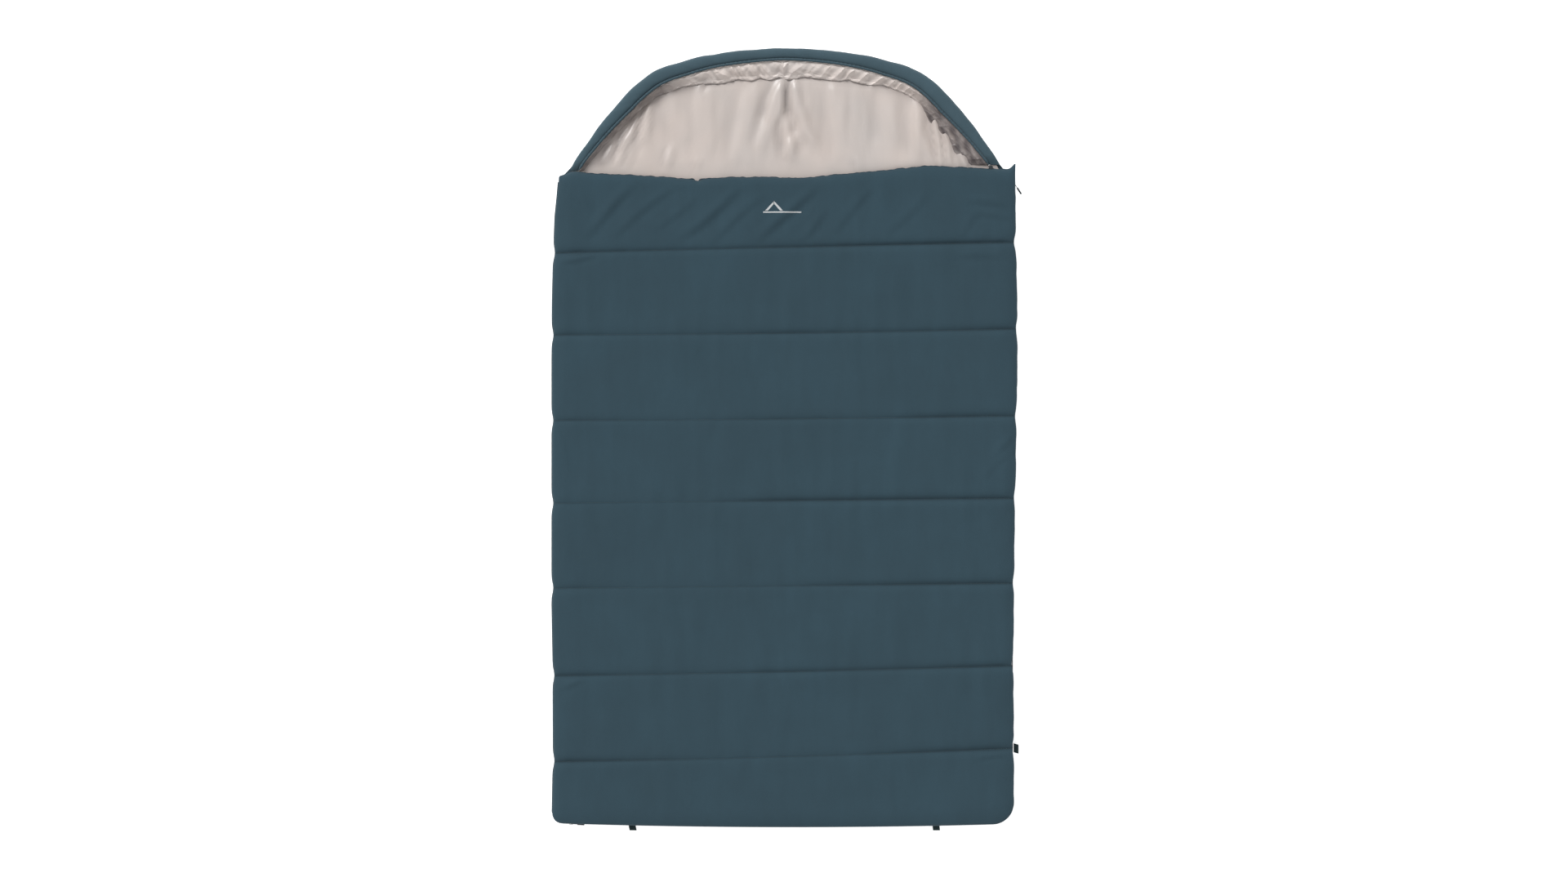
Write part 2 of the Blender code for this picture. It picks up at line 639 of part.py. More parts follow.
def make_hood_rim(group):
    """Padding, outer band, inner lining, drawcord channel and cord of the hood's rim."""
    frames = list(zip(*rim_frames(RIM_START, RIM_STOP, RIM_STATIONS)))
    last = RIM_STATIONS - 1
    seam_half = CHANNEL_RADIUS + 0.0006

    def gap_sweep(part, sign):
        width, _ = rim_size(part)
        return math.acos(1.0 - 2.0 * (RIM_BAND + sign * seam_half) / width)

    def padding(u, v):
        if v < 0.8:
            return rim_point(frames[round(u * last)], math.pi * v / 0.8, FILL_GAP, FIT)
        frame = frames[round(u * last)]
        start = rim_point(frame, math.pi, FILL_GAP, FIT)
        end = rim_point(frame, 0.0, FILL_GAP, FIT)
        return start.lerp(end, (v - 0.8) / 0.2)

    def outer_band(u, v):
        frame = frames[round(u * last)]
        return rim_point(frame, v * gap_sweep(frame[2], -1), 0.0, 0.0004)

    def inner_band(u, v):
        frame = frames[round(u * last)]
        start = gap_sweep(frame[2], 1)
        return rim_point(frame, start + v * (math.pi - start), 0.0, 0.0004)

    formed_sheet("hood_rim_padding", last, 10, padding, (FILL_WHITE, 0.95), group)
    formed_sheet("hood_rim_shell", last, 4, outer_band, (RIM_TEAL, 0.85), group, wall=SKIN,
                 outward=(0.0, 0.0, 1.0))
    formed_sheet("hood_rim_lining", last, 5, inner_band, (LINING_SAND, 0.55), group, wall=SKIN,
                 outward=(0.0, 0.0, 1.0))
    ridge = [rim_point(frame, channel_sweep(frame[2]), 0.0, CHANNEL_LIFT) for frame in frames]
    sleeve_curve = tube("drawcord_sleeve", ridge, CHANNEL_RADIUS, (RIM_TEAL, 0.8), group, capped=False)
    add_wall(curve_to_mesh(sleeve_curve, "drawcord_channel", (RIM_TEAL, 0.8), group), 0.001)
    return ridge


def curve_to_mesh(thing, name, finish, group):
    """Replaces a curve object by its mesh."""
    view = bpy.context.evaluated_depsgraph_get()
    mesh = bpy.data.meshes.new_from_object(thing.evaluated_get(view))
    mesh.materials.clear()
    bpy.data.objects.remove(thing, do_unlink=True)
    mesh.shade_smooth()
    return add_object(name, mesh, finish, group)


def make_cord_and_lock(ridge, cutters, group):
    """The drawcord in its channel, the eyelet at its mouth and the lock that grips it."""
    mouth = ridge[0]
    way = (ridge[0] - ridge[1])
    way.z = 0.0
    way.normalize()
    lock = mouth + way * 0.0110
    lock.z = mouth.z
    turn = Matrix.Translation(lock) @ way.to_track_quat("Y", "Z").to_matrix().to_4x4()
    cord = [lock + way * 0.0095, lock, mouth + way * 0.002, *ridge[:-1], ridge[-1].lerp(ridge[-2], 0.1)]
    tube("drawcord", cord, CORD_RADIUS, (WEBBING_BLACK, 0.7), group)

    bm = bmesh.new()
    ring = turn @ Matrix.Translation((0.0, -0.0094, 0.0)) @ Matrix.Rotation(math.pi / 2, 4, "X")
    bmesh.ops.create_cone(bm, cap_ends=True, segments=20, radius1=0.0044, radius2=0.0036,
                          depth=0.0014, matrix=ring)
    eyelet = add_bmesh("drawcord_eyelet", bm, (ZINC_DARK, 0.4, 1.0), group)
    across_hole = turn @ Matrix.Rotation(math.pi / 2, 4, "X")
    cut(eyelet, cylinder_object("eyelet_hole", 0.0022, 0.0, 0.02, turn=across_hole), cutters)

    upright = Matrix.Translation(lock)
    floor = RIM_BASE_Z + FIT - lock.z
    bottom = floor + 0.0012
    barrel = cylinder_object("cord_lock_barrel", BARREL_RADIUS, floor, BARREL_BRIM)
    barrel.data.materials.append(make_material("cord_lock_barrel_finish", WEBBING_BLACK, 0.5))
    group.objects.link(barrel)
    bore = cylinder_object("barrel_bore", BARREL_BORE, bottom, BARREL_BRIM + 0.01)
    hole = cylinder_object("barrel_hole", 0.0023, -0.02, 0.02,
                           turn=way.to_track_quat("Z", "Y").to_matrix().to_4x4())
    cut(barrel, bore, cutters)
    cut(barrel, hole, cutters)
    stem_low = bottom + 0.0070
    head_low = BARREL_BRIM + LOCK_TRAVEL + 0.0006
    stem = cylinder_object("cord_lock_button", STEM_RADIUS, stem_low, head_low + 0.0005)
    stem.data.materials.append(make_material("cord_lock_button_finish", WEBBING_BLACK, 0.5))
    group.objects.link(stem)
    head = cylinder_object("button_head", HEAD_RADIUS, head_low, head_low + 0.0020)
    cutters.objects.link(head)
    head.hide_render = True
    head.display_type = "WIRE"
    join = stem.modifiers.new("join_head", "BOOLEAN")
    join.operation = "UNION"
    join.object = head
    slot = box_object("button_slot", (-0.0021, -0.02, -0.0021), (0.0021, 0.02, 0.0021 + LOCK_TRAVEL))
    cut(stem, slot, cutters)
    foot = bottom + 0.0006
    top = stem_low - 0.0006
    coil = []
    for step in range(SPRING_STEPS + 1):
        angle = step * math.pi / 4
        rise = foot + (top - foot) * step / SPRING_STEPS
        coil.append((SPRING_RADIUS * math.cos(angle), SPRING_RADIUS * math.sin(angle), rise))
    spring = tube("cord_lock_spring", coil, SPRING_WIRE, (STEEL, 0.3, 1.0), group)
    spring.data.bevel_resolution = 1
    for thing in (barrel, bore, hole, stem, head, spring):
        thing.matrix_world = upright
    slot.matrix_world = turn


def main():
    """Builds every piece of the bag."""
    clear_scene()
    group = make_collection(COLLECTION)
    cutters = make_collection("cutters")
    make_base(group)
    make_upper(group)
    make_print(group)
    make_left_seam(group)
    make_zip_half("base", -1, group)
    make_zip_half("upper", 1, group)
    wall_x = RIGHT_X - ZIP_RECESS + FIT + TAPE_THICK / 2
    wall_y = FOOT_Y + ZIP_RECESS - FIT - TAPE_THICK / 2
    side = Matrix.Translation((wall_x, SIDE_SLIDER_Y, SEAM_Z)) @ Matrix.Rotation(-math.pi / 2, 4, "Z")
    foot = Matrix.Translation((FOOT_SLIDER_X, wall_y, SEAM_Z)) @ Matrix.Rotation(math.pi, 4, "Z")
    make_slider("side", side, SIDE_TAB_ANGLE, cutters, group)
    make_slider("foot", foot, FOOT_TAB_ANGLE, cutters, group)
    for name, x in HANG_LOOPS_X.items():
        place = Matrix.Translation((x, FOOT_Y - FIT, LOOP_Z)) @ Matrix.Rotation(math.pi, 4, "Z")
        make_loop("hang_loop_" + name, place, LOOP_WIDTH, LOOP_REACH, group)
    place = Matrix.Translation((RIGHT_X + FIT, SIDE_LOOP_Y, LOOP_Z)) @ Matrix.Rotation(-math.pi / 2, 4, "Z")
    make_loop("side_loop", place, SIDE_LOOP_WIDTH, SIDE_LOOP_REACH, group)
    ridge = make_hood_rim(group)
    make_cord_and_lock(ridge, cutters, group)


main()
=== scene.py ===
"""Looks of the double hooded sleeping bag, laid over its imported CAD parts.

The bag lies flat, head at +Y and foot at -Y, with the seam plane between its two quilts.
Both quilts and the hood's satin roll are padded forms blown up by a short cloth simulation.
The hood's band and the draught tube are padded forms worked out whole, and the linings are
sheets. Sliders, tabs, stops and the cord lock are the CAD
parts with a fuller finish.
"""

import math

import bmesh
import bpy
import numpy as np
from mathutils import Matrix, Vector
from mathutils.bvhtree import BVHTree


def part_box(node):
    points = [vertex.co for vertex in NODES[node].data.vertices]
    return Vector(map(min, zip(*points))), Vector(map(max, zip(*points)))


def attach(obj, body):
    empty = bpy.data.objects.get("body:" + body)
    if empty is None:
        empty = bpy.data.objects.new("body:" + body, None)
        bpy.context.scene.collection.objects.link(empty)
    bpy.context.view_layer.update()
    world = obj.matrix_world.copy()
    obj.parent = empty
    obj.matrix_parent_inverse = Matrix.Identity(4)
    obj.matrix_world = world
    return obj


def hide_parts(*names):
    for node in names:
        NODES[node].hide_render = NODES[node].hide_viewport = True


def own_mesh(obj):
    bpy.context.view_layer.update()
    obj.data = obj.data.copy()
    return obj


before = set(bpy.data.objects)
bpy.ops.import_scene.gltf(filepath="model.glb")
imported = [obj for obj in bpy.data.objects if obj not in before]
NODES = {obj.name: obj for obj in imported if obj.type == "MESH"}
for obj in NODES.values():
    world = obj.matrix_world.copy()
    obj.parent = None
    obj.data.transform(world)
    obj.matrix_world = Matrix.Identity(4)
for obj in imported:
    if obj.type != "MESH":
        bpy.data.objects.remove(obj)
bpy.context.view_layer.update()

# ---------------------------------------------------------------- sizes, in metres
SHELL_LOW, SHELL_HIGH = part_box("upper_shell")
LEFT_X, FOOT_Y = SHELL_LOW.x, SHELL_LOW.y
RIGHT_X, MOUTH_Y = SHELL_HIGH.x, SHELL_HIGH.y
HOOD_TOP_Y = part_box("hood_rim_shell")[1].y
SEAM_Z = (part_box("base_lining")[0].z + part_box("upper_lining")[1].z) / 2
CORNER_LEFT, CORNER_RIGHT = 0.030, 0.060
SHOULDER_Y = 0.785
HOOD_HALF = ((0.657, 0.803), (0.622, 0.862), (0.527, 0.990), (0.416, 1.098),
             (0.285, 1.146), (0.150, 1.169), (0.0, HOOD_TOP_Y))

# cross seams from foot to head: height at the left end, the middle and the right end
FOOT_LINE = (-1.1540, -1.1660, -1.1560)
SEAM_LINES = ((-0.968, -0.953, -0.928), (-0.710, -0.698, -0.680), (-0.447, -0.440, -0.432),
              (-0.192, -0.184, -0.177), (0.057, 0.061, 0.071), (0.314, 0.319, 0.332),
              (0.560, 0.577, 0.592))
MOUTH_LINE = (0.800, 0.797, 0.806)
# how hard each seam bites, at seven places from left to right
SEAM_BITE = ((1.3, 0.8, 0.4, 0.35, 0.5, 1.1, 1.3), (1.3, 0.6, 0.5, 1.0, 0.8, 1.0, 1.3),
             (0.8, 0.25, 0.2, 0.3, 1.0, 1.2, 1.3), (0.5, 0.15, 0.2, 1.3, 1.3, 1.3, 1.2),
             (0.7, 0.4, 0.25, 0.7, 0.35, 1.1, 1.1), (1.1, 0.45, 0.6, 1.1, 0.8, 0.9, 1.3),
             (1.2, 0.8, 0.7, 0.9, 1.2, 1.4, 1.3))
# how far each long edge strays in from the straight, from foot to head
LEFT_STRAY = ((-1.16, 0.000), (-0.93, 0.004), (-0.67, 0.003), (-0.50, 0.000), (0.22, 0.000),
              (0.41, 0.001), (0.54, 0.004), (0.67, 0.009), (0.74, 0.016), (0.80, 0.021))
RIGHT_STRAY = ((-1.16, 0.005), (-0.93, 0.004), (-0.66, 0.006), (-0.50, 0.004), (-0.29, 0.002),
               (0.00, -0.003), (0.28, -0.007), (0.41, -0.006), (0.58, -0.002), (0.80, 0.000))

CROWN = 0.0320
EDGE = 0.0134
UNDERSIDE = 0.0003
QUILT_FACE = 0.0057
EDGE_ROUND = 0.055
# how many rows in from the mouth a quilt's flat back starts its plain strips
BACK_ROWS = 7


# ---------------------------------------------------------------- curves and meshes
def smooth_through(points, count):
    """A Catmull-Rom line: each stretch is a cubic whose slope at a point is half the step
    between that point's neighbours. It is read at count places, evenly spaced along it."""
    knots = np.asarray(points, float)
    knots = np.vstack([2 * knots[0] - knots[1], knots, 2 * knots[-1] - knots[-2]])
    t = np.linspace(0, 1, 24, endpoint=False)[:, None, None]
    a, b, c, d = knots[:-3], knots[1:-2], knots[2:-1], knots[3:]
    runs = 0.5 * (2 * b + (c - a) * t + (2 * a - 5 * b + 4 * c - d) * t ** 2
                  + (3 * b - a - 3 * c + d) * t ** 3)
    line = np.vstack([runs.transpose(1, 0, 2).reshape(-1, knots.shape[1]), knots[-2:-1]])
    return resample(line, count)


def resample(line, count):
    """The line's points read again at count places, evenly spaced along its length."""
    run = np.concatenate([[0], np.cumsum(np.linalg.norm(np.diff(line, axis=0), axis=1))])
    at = np.linspace(0, run[-1], count)
    return np.stack([np.interp(at, run, line[:, k]) for k in range(line.shape[1])], axis=1)


def hood_outline(count):
    """The hood's outer edge, from its right end over the crown to its left end."""
    right = np.array(HOOD_HALF)
    return smooth_through(np.vstack([right, right[-2::-1] * (-1, 1)]), count)


def unevenness(x, y, reach, seed, octaves=3):
    """Soft unevenness from -1 to 1: sine waves in scattered directions, of about the given
    reach, each octave twice as fine and half as high as the one before."""
    rng = np.random.default_rng(seed)
    total, weight = 0.0, 0.0
    for octave in range(octaves):
        for _ in range(5):
            turn, phase = rng.uniform(0, 2 * math.pi, 2)
            rate = 2 * math.pi / reach * 2 ** octave * rng.uniform(0.7, 1.4)
            run = x * math.cos(turn) + y * math.sin(turn)
            total = total + np.sin(rate * run + phase) / 2 ** octave
            weight += 0.45 / 2 ** octave
    return np.clip(total / weight, -1, 1)


def creases(x, y, runs):
    """Height of drawn-out folds. Each run is start x and y, end x and y, width and height: a
    bell-shaped ridge with a shallower valley beside it, strongest in its middle and fading to
    nothing at both ends, bent a little sideways."""
    total = np.zeros_like(x)
    for x0, y0, x1, y1, width, height in runs:
        dx, dy = x1 - x0, y1 - y0
        length = math.hypot(dx, dy)
        along = ((x - x0) * dx + (y - y0) * dy) / length ** 2
        aside = ((x - x0) * dy - (y - y0) * dx) / length
        aside = aside - 0.04 * length * np.sin(3.1 * along + 17 * x0)
        fade = np.clip(along * (1 - along) * 4, 0, 1) ** 0.7
        bell = np.exp(-(aside / width) ** 2) - 0.7 * np.exp(-((aside - 1.5 * width) / width) ** 2)
        total += height * fade * bell
    return total


def build(name, points, faces, flat=False):
    """A mesh object of these points and faces, smooth unless it is flat."""
    mesh = bpy.data.meshes.new(name)
    mesh.from_pydata(np.asarray(points, float).tolist(), [], faces)
    mesh.validate()
    mesh.shade_flat() if flat else mesh.shade_smooth()
    thing = bpy.data.objects.new(name, mesh)
    bpy.context.scene.collection.objects.link(thing)
    return thing


def grid_faces(rows, columns, start=0, around=False):
    """Quads of a grid whose rows follow each other; around joins its last column to its first."""
    last = columns if around else columns - 1
    i, j = np.meshgrid(np.arange(rows - 1), np.arange(last), indexing="ij")
    k = (j + 1) % columns
    low, high = i * columns, (i + 1) * columns
    quads = np.stack([low + j, low + k, high + k, high + j], axis=-1)
    return (quads.reshape(-1, 4) + start).tolist()


def carried(name, path, profiles, normals, capped=True):
    """A tube: at each point of the path its profile's points are laid out, first number along
    the side normal and second along +Z or the given up vector. Both ends are closed."""
    count, sides = len(path), profiles.shape[-2]
    side, up = normals
    points = path[:, None] + profiles[..., :1] * side[:, None] + profiles[..., 1:] * up[:, None]
    faces = grid_faces(count, sides, around=True)
    if capped:
        faces += [list(range(sides))[::-1], list(range((count - 1) * sides, count * sides))]
    return build(name, points.reshape(-1, 3), faces)


def path_sides(path):
    """For a path in space: a level vector square to it, and the vector square to both."""
    way = np.gradient(path, axis=0)
    way /= np.linalg.norm(way, axis=1)[:, None]
    side = np.stack([way[:, 1], -way[:, 0], np.zeros(len(way))], axis=1)
    side /= np.linalg.norm(side, axis=1)[:, None]
    return side, np.cross(side, way)


def round_profile(radius, sides):
    """A circle of points, anticlockwise."""
    turn = np.linspace(0, 2 * math.pi, sides, endpoint=False)
    return np.asarray(radius)[..., None, None] * np.stack([np.cos(turn), np.sin(turn)], axis=-1)


def set_points(thing, values):
    """Moves the mesh's points to these places."""
    thing.data.vertices.foreach_set("co", np.asarray(values, np.float32).ravel())
    thing.data.update()


def points_of(thing):
    """The mesh's points as an array."""
    values = np.empty(len(thing.data.vertices) * 3, np.float32)
    thing.data.vertices.foreach_get("co", values)
    return values.reshape(-1, 3).astype(float)


def attribute(thing, name, values):
    """A number at each point, for the material to read."""
    held = thing.data.attributes.new(name, "FLOAT", "POINT")
    held.data.foreach_set("value", np.asarray(values, np.float32).ravel())


def apply_modifiers(thing):
    """Makes the evaluated mesh the object's own and removes its modifiers."""
    view = bpy.context.evaluated_depsgraph_get()
    mesh = bpy.data.meshes.new_from_object(thing.evaluated_get(view))
    thing.modifiers.clear()
    thing.data = mesh
    mesh.shade_smooth()


def refine(thing):
    """One subdivision, made part of the mesh."""
    step = thing.modifiers.new("refine", "SUBSURF")
    step.levels = step.render_levels = 1
    apply_modifiers(thing)


def blow_up(thing, held, pressure, slack, cap, frames=20):
    """Cloth simulation: points are pinned by held, from 0 to 1, the cloth is let out by slack
    and blown up by pressure without gravity, and no point ends further than cap from its start."""
    before = points_of(thing)
    group = thing.vertex_groups.new(name="held")
    for level in np.unique(np.round(held, 2)):
        if level > 0:
            group.add(np.flatnonzero(np.round(held, 2) == level).tolist(), float(level), "REPLACE")
    cloth = thing.modifiers.new("cloth", "CLOTH")
    settings = cloth.settings
    settings.quality = 6
    settings.mass = 0.25
    settings.tension_stiffness = settings.compression_stiffness = 18
    settings.shear_stiffness = 6
    settings.bending_stiffness = 0.35
    settings.tension_damping = settings.compression_damping = 12
    settings.air_damping = 4
    settings.vertex_group_mass = "held"
    settings.pin_stiffness = 1
    settings.shrink_min = settings.shrink_max = -slack
    settings.use_pressure = True
    settings.uniform_pressure_force = pressure
    settings.effector_weights.gravity = 0
    cloth.collision_settings.use_collision = False
    cloth.collision_settings.use_self_collision = False
    cloth.point_cache.frame_start = 1
    cloth.point_cache.frame_end = frames
    scene = bpy.context.scene
    for number in range(1, frames + 1):
        scene.frame_set(number)
    apply_modifiers(thing)
    scene.frame_set(1)
    moved = points_of(thing) - before
    far = np.linalg.norm(moved, axis=1)[:, None]
    moved *= cap * np.tanh(far / cap) / np.maximum(far, 1e-9)
    set_points(thing, before + moved)
    thing.vertex_groups.clear()


# ---------------------------------------------------------------- finishes
class Shader:
    """A material's node tree around one Principled shader."""

    def __init__(self, name, roughness, **fixed):
        self.material = bpy.data.materials.new(name)
        self.material.use_nodes = True
        self.tree = self.material.node_tree
        self.bsdf = self.tree.nodes["Principled BSDF"]
        self.bsdf.inputs["Roughness"].default_value = roughness
        for key, value in fixed.items():
            self.bsdf.inputs[key.replace("_", " ")].default_value = value
        self.place = self.node("ShaderNodeTexCoord").outputs["Object"]

    def node(self, kind, **fields):
        made = self.tree.nodes.new(kind)
        for key, value in fields.items():
            setattr(made, key, value)
        return made

    def link(self, source, target):
        self.tree.links.new(source, target)

    def scaled(self, scale, turn=0.0):
        """The piece's own coordinates, scaled along each axis and turned about Z."""
        mapping = self.node("ShaderNodeMapping")
        mapping.inputs["Scale"].default_value = scale
        mapping.inputs["Rotation"].default_value = (0, 0, turn)
        self.link(self.place, mapping.inputs["Vector"])
        return mapping.outputs["Vector"]

    def noise(self, scale, detail=3.0, roughness=0.5, stretch=None, turn=0.0):
        """Fractal noise; stretch squeezes it along the axes."""
        made = self.node("ShaderNodeTexNoise")
        made.inputs["Scale"].default_value = scale
        made.inputs["Detail"].default_value = detail
        made.inputs["Roughness"].default_value = roughness
        self.link(self.scaled(stretch, turn) if stretch else self.place, made.inputs["Vector"])
        return made.outputs["Fac"]

    def bands(self, pitch, axis, turn=0.0):
        """Ribs of the given pitch across one axis."""
        made = self.node("ShaderNodeTexWave", bands_direction=axis)
        made.inputs["Scale"].default_value = math.pi / 10 / pitch
        made.inputs["Detail"].default_value = 0
        self.link(self.scaled((1, 1, 1), turn), made.inputs["Vector"])
        return made.outputs["Fac"]

    def sum_of(self, first, second, operation="ADD"):
        made = self.node("ShaderNodeMath", operation=operation)
        for socket, value in zip(made.inputs, (first, second)):
            if isinstance(value, (int, float)):
                socket.default_value = value
            else:
                self.link(value, socket)
        return made.outputs[0]

    def ramp(self, source, stops):
        """Colours along a 0 to 1 value."""
        made = self.node("ShaderNodeValToRGB")
        marks = made.color_ramp.elements
        while len(marks) < len(stops):
            marks.new(0.5)
        for mark, (at, colour) in zip(marks, stops):
            mark.position = at
            mark.color = (*colour, 1)
        self.link(source, made.inputs["Fac"])
        return made.outputs["Color"]

    def mixed(self, amount, first, second, blend="MIX"):
        made = self.node("ShaderNodeMix", data_type="RGBA", blend_type=blend)
        for place, value in ((0, amount), (6, first), (7, second)):
            socket = made.inputs[place]
            if isinstance(value, bpy.types.NodeSocket):
                self.link(value, socket)
            else:
                socket.default_value = value if isinstance(value, (int, float)) else (*value, 1)
        return made.outputs[2]

    def painted_shade_at(self, name):
        """The number that the piece carries at each point: how much painted shade it gets."""
        return self.node("ShaderNodeAttribute", attribute_name=name).outputs["Fac"]

    def colour(self, source):
        self.link(source, self.bsdf.inputs["Base Color"])

    def rough(self, source, low, high):
        made = self.node("ShaderNodeMapRange")
        made.inputs["To Min"].default_value = low
        made.inputs["To Max"].default_value = high
        self.link(source, made.inputs["Value"])
        self.link(made.outputs["Result"], self.bsdf.inputs["Roughness"])

    def bump(self, source, distance, strength=1.0):
        """Adds a layer of fine relief over those already there."""
        made = self.node("ShaderNodeBump")
        made.inputs["Distance"].default_value = distance
        made.inputs["Strength"].default_value = strength
        self.link(source, made.inputs["Height"])
        under = self.bsdf.inputs["Normal"]
        if under.links:
            self.link(under.links[0].from_socket, made.inputs["Normal"])
        self.link(made.outputs["Normal"], under)


def tone(colour, factor):
    """The colour made lighter or darker."""
    return tuple(min(1.0, channel * factor) for channel in colour)


def brushed_cloth(name, colour, painted_shade_tone=0.45):
    """Matte brushed polyester: plain weave under a short nap, a soft sheen, slow changes of
    tone, brushed streaks, and painted shade, mixed in by the number each point carries as seam, in seam
    valleys, on side walls and in gathers."""
    made = Shader(name, 0.86, Sheen_Weight=0.10, Sheen_Roughness=0.45, Specular_IOR_Level=0.25)
    slow = made.noise(5.0, 4.0, 0.6)
    streak = made.noise(1.0, 3.0, 0.6, stretch=(26, 5, 20))
    blend = made.sum_of(made.sum_of(slow, 0.65, "MULTIPLY"), made.sum_of(streak, 0.35, "MULTIPLY"))
    base = made.ramp(blend, ((0.30, tone(colour, 0.90)), (0.52, colour), (0.72, tone(colour, 1.12))))
    nap = made.noise(900.0, 2.0, 0.7)
    base = made.mixed(0.16, base, made.ramp(nap, ((0.3, tone(colour, 0.55)), (0.7, tone(colour, 1.6)))))
    # Painted shade: the seam number mixes the cloth towards a darker tone in seam valleys, on side walls and
    # in gathers.
    base = made.mixed(made.painted_shade_at("seam"), base, tone(colour, painted_shade_tone))
    made.colour(base)
    weave = made.sum_of(made.bands(0.0011, "X"), made.bands(0.0011, "Y"))
    made.bump(weave, 0.00006, 0.5)
    made.bump(nap, 0.00022, 0.6)
    made.rough(slow, 0.80, 0.93)
    return made.material


def satin_lining(name, colour, shade=(0.058, 0.046, 0.049)):
    """Thin satin: a fine twill, smooth soft highlights, faint creasing with painted shade and highlight on
    its crumples, rosy and grey patches, and painted shade, towards the shade colour, in tucks, creases and
    shadowed hollows."""
    made = Shader(name, 0.40, Sheen_Weight=0.10, Sheen_Roughness=0.35, Specular_IOR_Level=0.55,
                  Anisotropic=0.35)
    slow = made.noise(3.2, 3.0, 0.55)
    cool = tuple(np.multiply(colour, (0.93, 0.96, 0.98)))
    warm = tuple(np.multiply(colour, (1.06, 1.03, 1.01)))
    base = made.ramp(slow, ((0.32, cool), (0.5, colour), (0.68, warm)))
    crumple = made.noise(13.0, 3.0, 0.5, stretch=(1.0, 0.45, 1.0), turn=0.3)
    # Painted shade and highlight: the same crumple that bumps the satin makes its low spots darker and its
    # high spots lighter.
    crumple_shade_and_highlight = made.ramp(crumple, ((0.35, tone(colour, 0.84)), (0.65, tone(colour, 1.10))))
    base = made.mixed(0.16, base, crumple_shade_and_highlight)
    # Painted shade: the seam number mixes the satin towards the dark shade colour in tucks, creases and
    # shadowed hollows.
    base = made.mixed(made.painted_shade_at("seam"), base, shade)
    made.colour(base)
    made.rough(slow, 0.30, 0.44)
    made.bump(crumple, 0.0050, 0.5)
    made.bump(made.bands(0.0009, "X", 0.8), 0.00003, 0.35)
    return made.material


def webbing(name, colour):
    """Narrow woven band: ribs across it, a herringbone of threads and a slight fray."""
    made = Shader(name, 0.75, Sheen_Weight=0.12, Specular_IOR_Level=0.3)
    ribs = made.bands(0.0011, "Y")
    threads = made.bands(0.0009, "X", 0.7)
    fray = made.noise(420.0, 3.0)
    base = made.ramp(ribs, ((0.1, tone(colour, 0.55)), (0.6, colour), (0.95, tone(colour, 1.5))))
    frayed = made.ramp(fray, ((0.35, tone(colour, 0.6)), (0.7, tone(colour, 1.9))))
    made.colour(made.mixed(0.3, base, frayed))
    made.bump(made.sum_of(ribs, made.sum_of(threads, 0.5, "MULTIPLY")), 0.00025, 0.8)
    made.rough(fray, 0.65, 0.85)
    return made.material


def moulded(name, colour, roughness, grain=700.0, depth=0.00004):
    """Moulded plastic or rubber: a fine eggshell grain and rubbed, lighter patches."""
    made = Shader(name, roughness, Specular_IOR_Level=0.45)
    grit, rub = made.noise(grain, 2.0), made.noise(90.0, 4.0, 0.6)
    made.colour(made.ramp(rub, ((0.35, tone(colour, 0.8)), (0.6, colour), (0.8, tone(colour, 1.5)))))
    made.bump(grit, depth, 0.7)
    made.rough(rub, roughness - 0.08, roughness + 0.12)
    return made.material


def plated(name, colour, roughness):
    """Plated or lacquered metal with brushed lines, rubbed brighter in places."""
    made = Shader(name, roughness, Metallic=0.9)
    rub = made.noise(240.0, 4.0, 0.65)
    lines = made.noise(1.0, 2.0, 0.5, stretch=(300, 4000, 900))
    made.colour(made.ramp(rub, ((0.35, tone(colour, 0.7)), (0.55, colour), (0.75, tone(colour, 1.8)))))
    made.bump(lines, 0.00003, 0.5)
    made.rough(rub, max(0.05, roughness - 0.1), roughness + 0.15)
    return made.material


def nylon(name, colour):
    """Drawn nylon filament: smooth, faintly streaked and glossy."""
    made = Shader(name, 0.38, Specular_IOR_Level=0.5)
    streak = made.noise(600.0, 2.0)
    made.colour(made.ramp(streak, ((0.3, tone(colour, 0.75)), (0.7, tone(colour, 1.4)))))
    made.rough(streak, 0.3, 0.5)
    return made.material


def braided(name, colour):
    """Round braid: two sets of slanted strands crossing, with paler flecks."""
    made = Shader(name, 0.7, Sheen_Weight=0.15)
    cross = made.sum_of(made.bands(0.0012, "X", 0.9), made.bands(0.0012, "X", -0.9), "MAXIMUM")
    made.colour(made.ramp(cross, ((0.3, tone(colour, 0.5)), (0.7, colour), (0.98, tone(colour, 1.8)))))
    made.bump(cross, 0.00025, 0.9)
    return made.material


def screen_ink(name, colour):
    """Screen-printed ink: it takes the weave below it and has tiny misses."""
    made = Shader(name, 0.55, Specular_IOR_Level=0.35)
    miss = made.noise(1100.0, 2.0)
    made.colour(made.ramp(miss, ((0.25, tone(colour, 0.75)), (0.42, colour), (0.8, tone(colour, 1.06)))))
    made.bump(made.sum_of(made.bands(0.0011, "X"), made.bands(0.0011, "Y")), 0.00005, 0.5)
    return made.material


TEAL = (0.0292, 0.0600, 0.0800)
# Painted light: the rim band and drawcord channel get a lighter copy of the quilts' teal, standing for the
# light on the raised band.
TEAL_PAINTED_LIGHTER = (0.052, 0.090, 0.112)
SAND = (0.560, 0.500, 0.468)
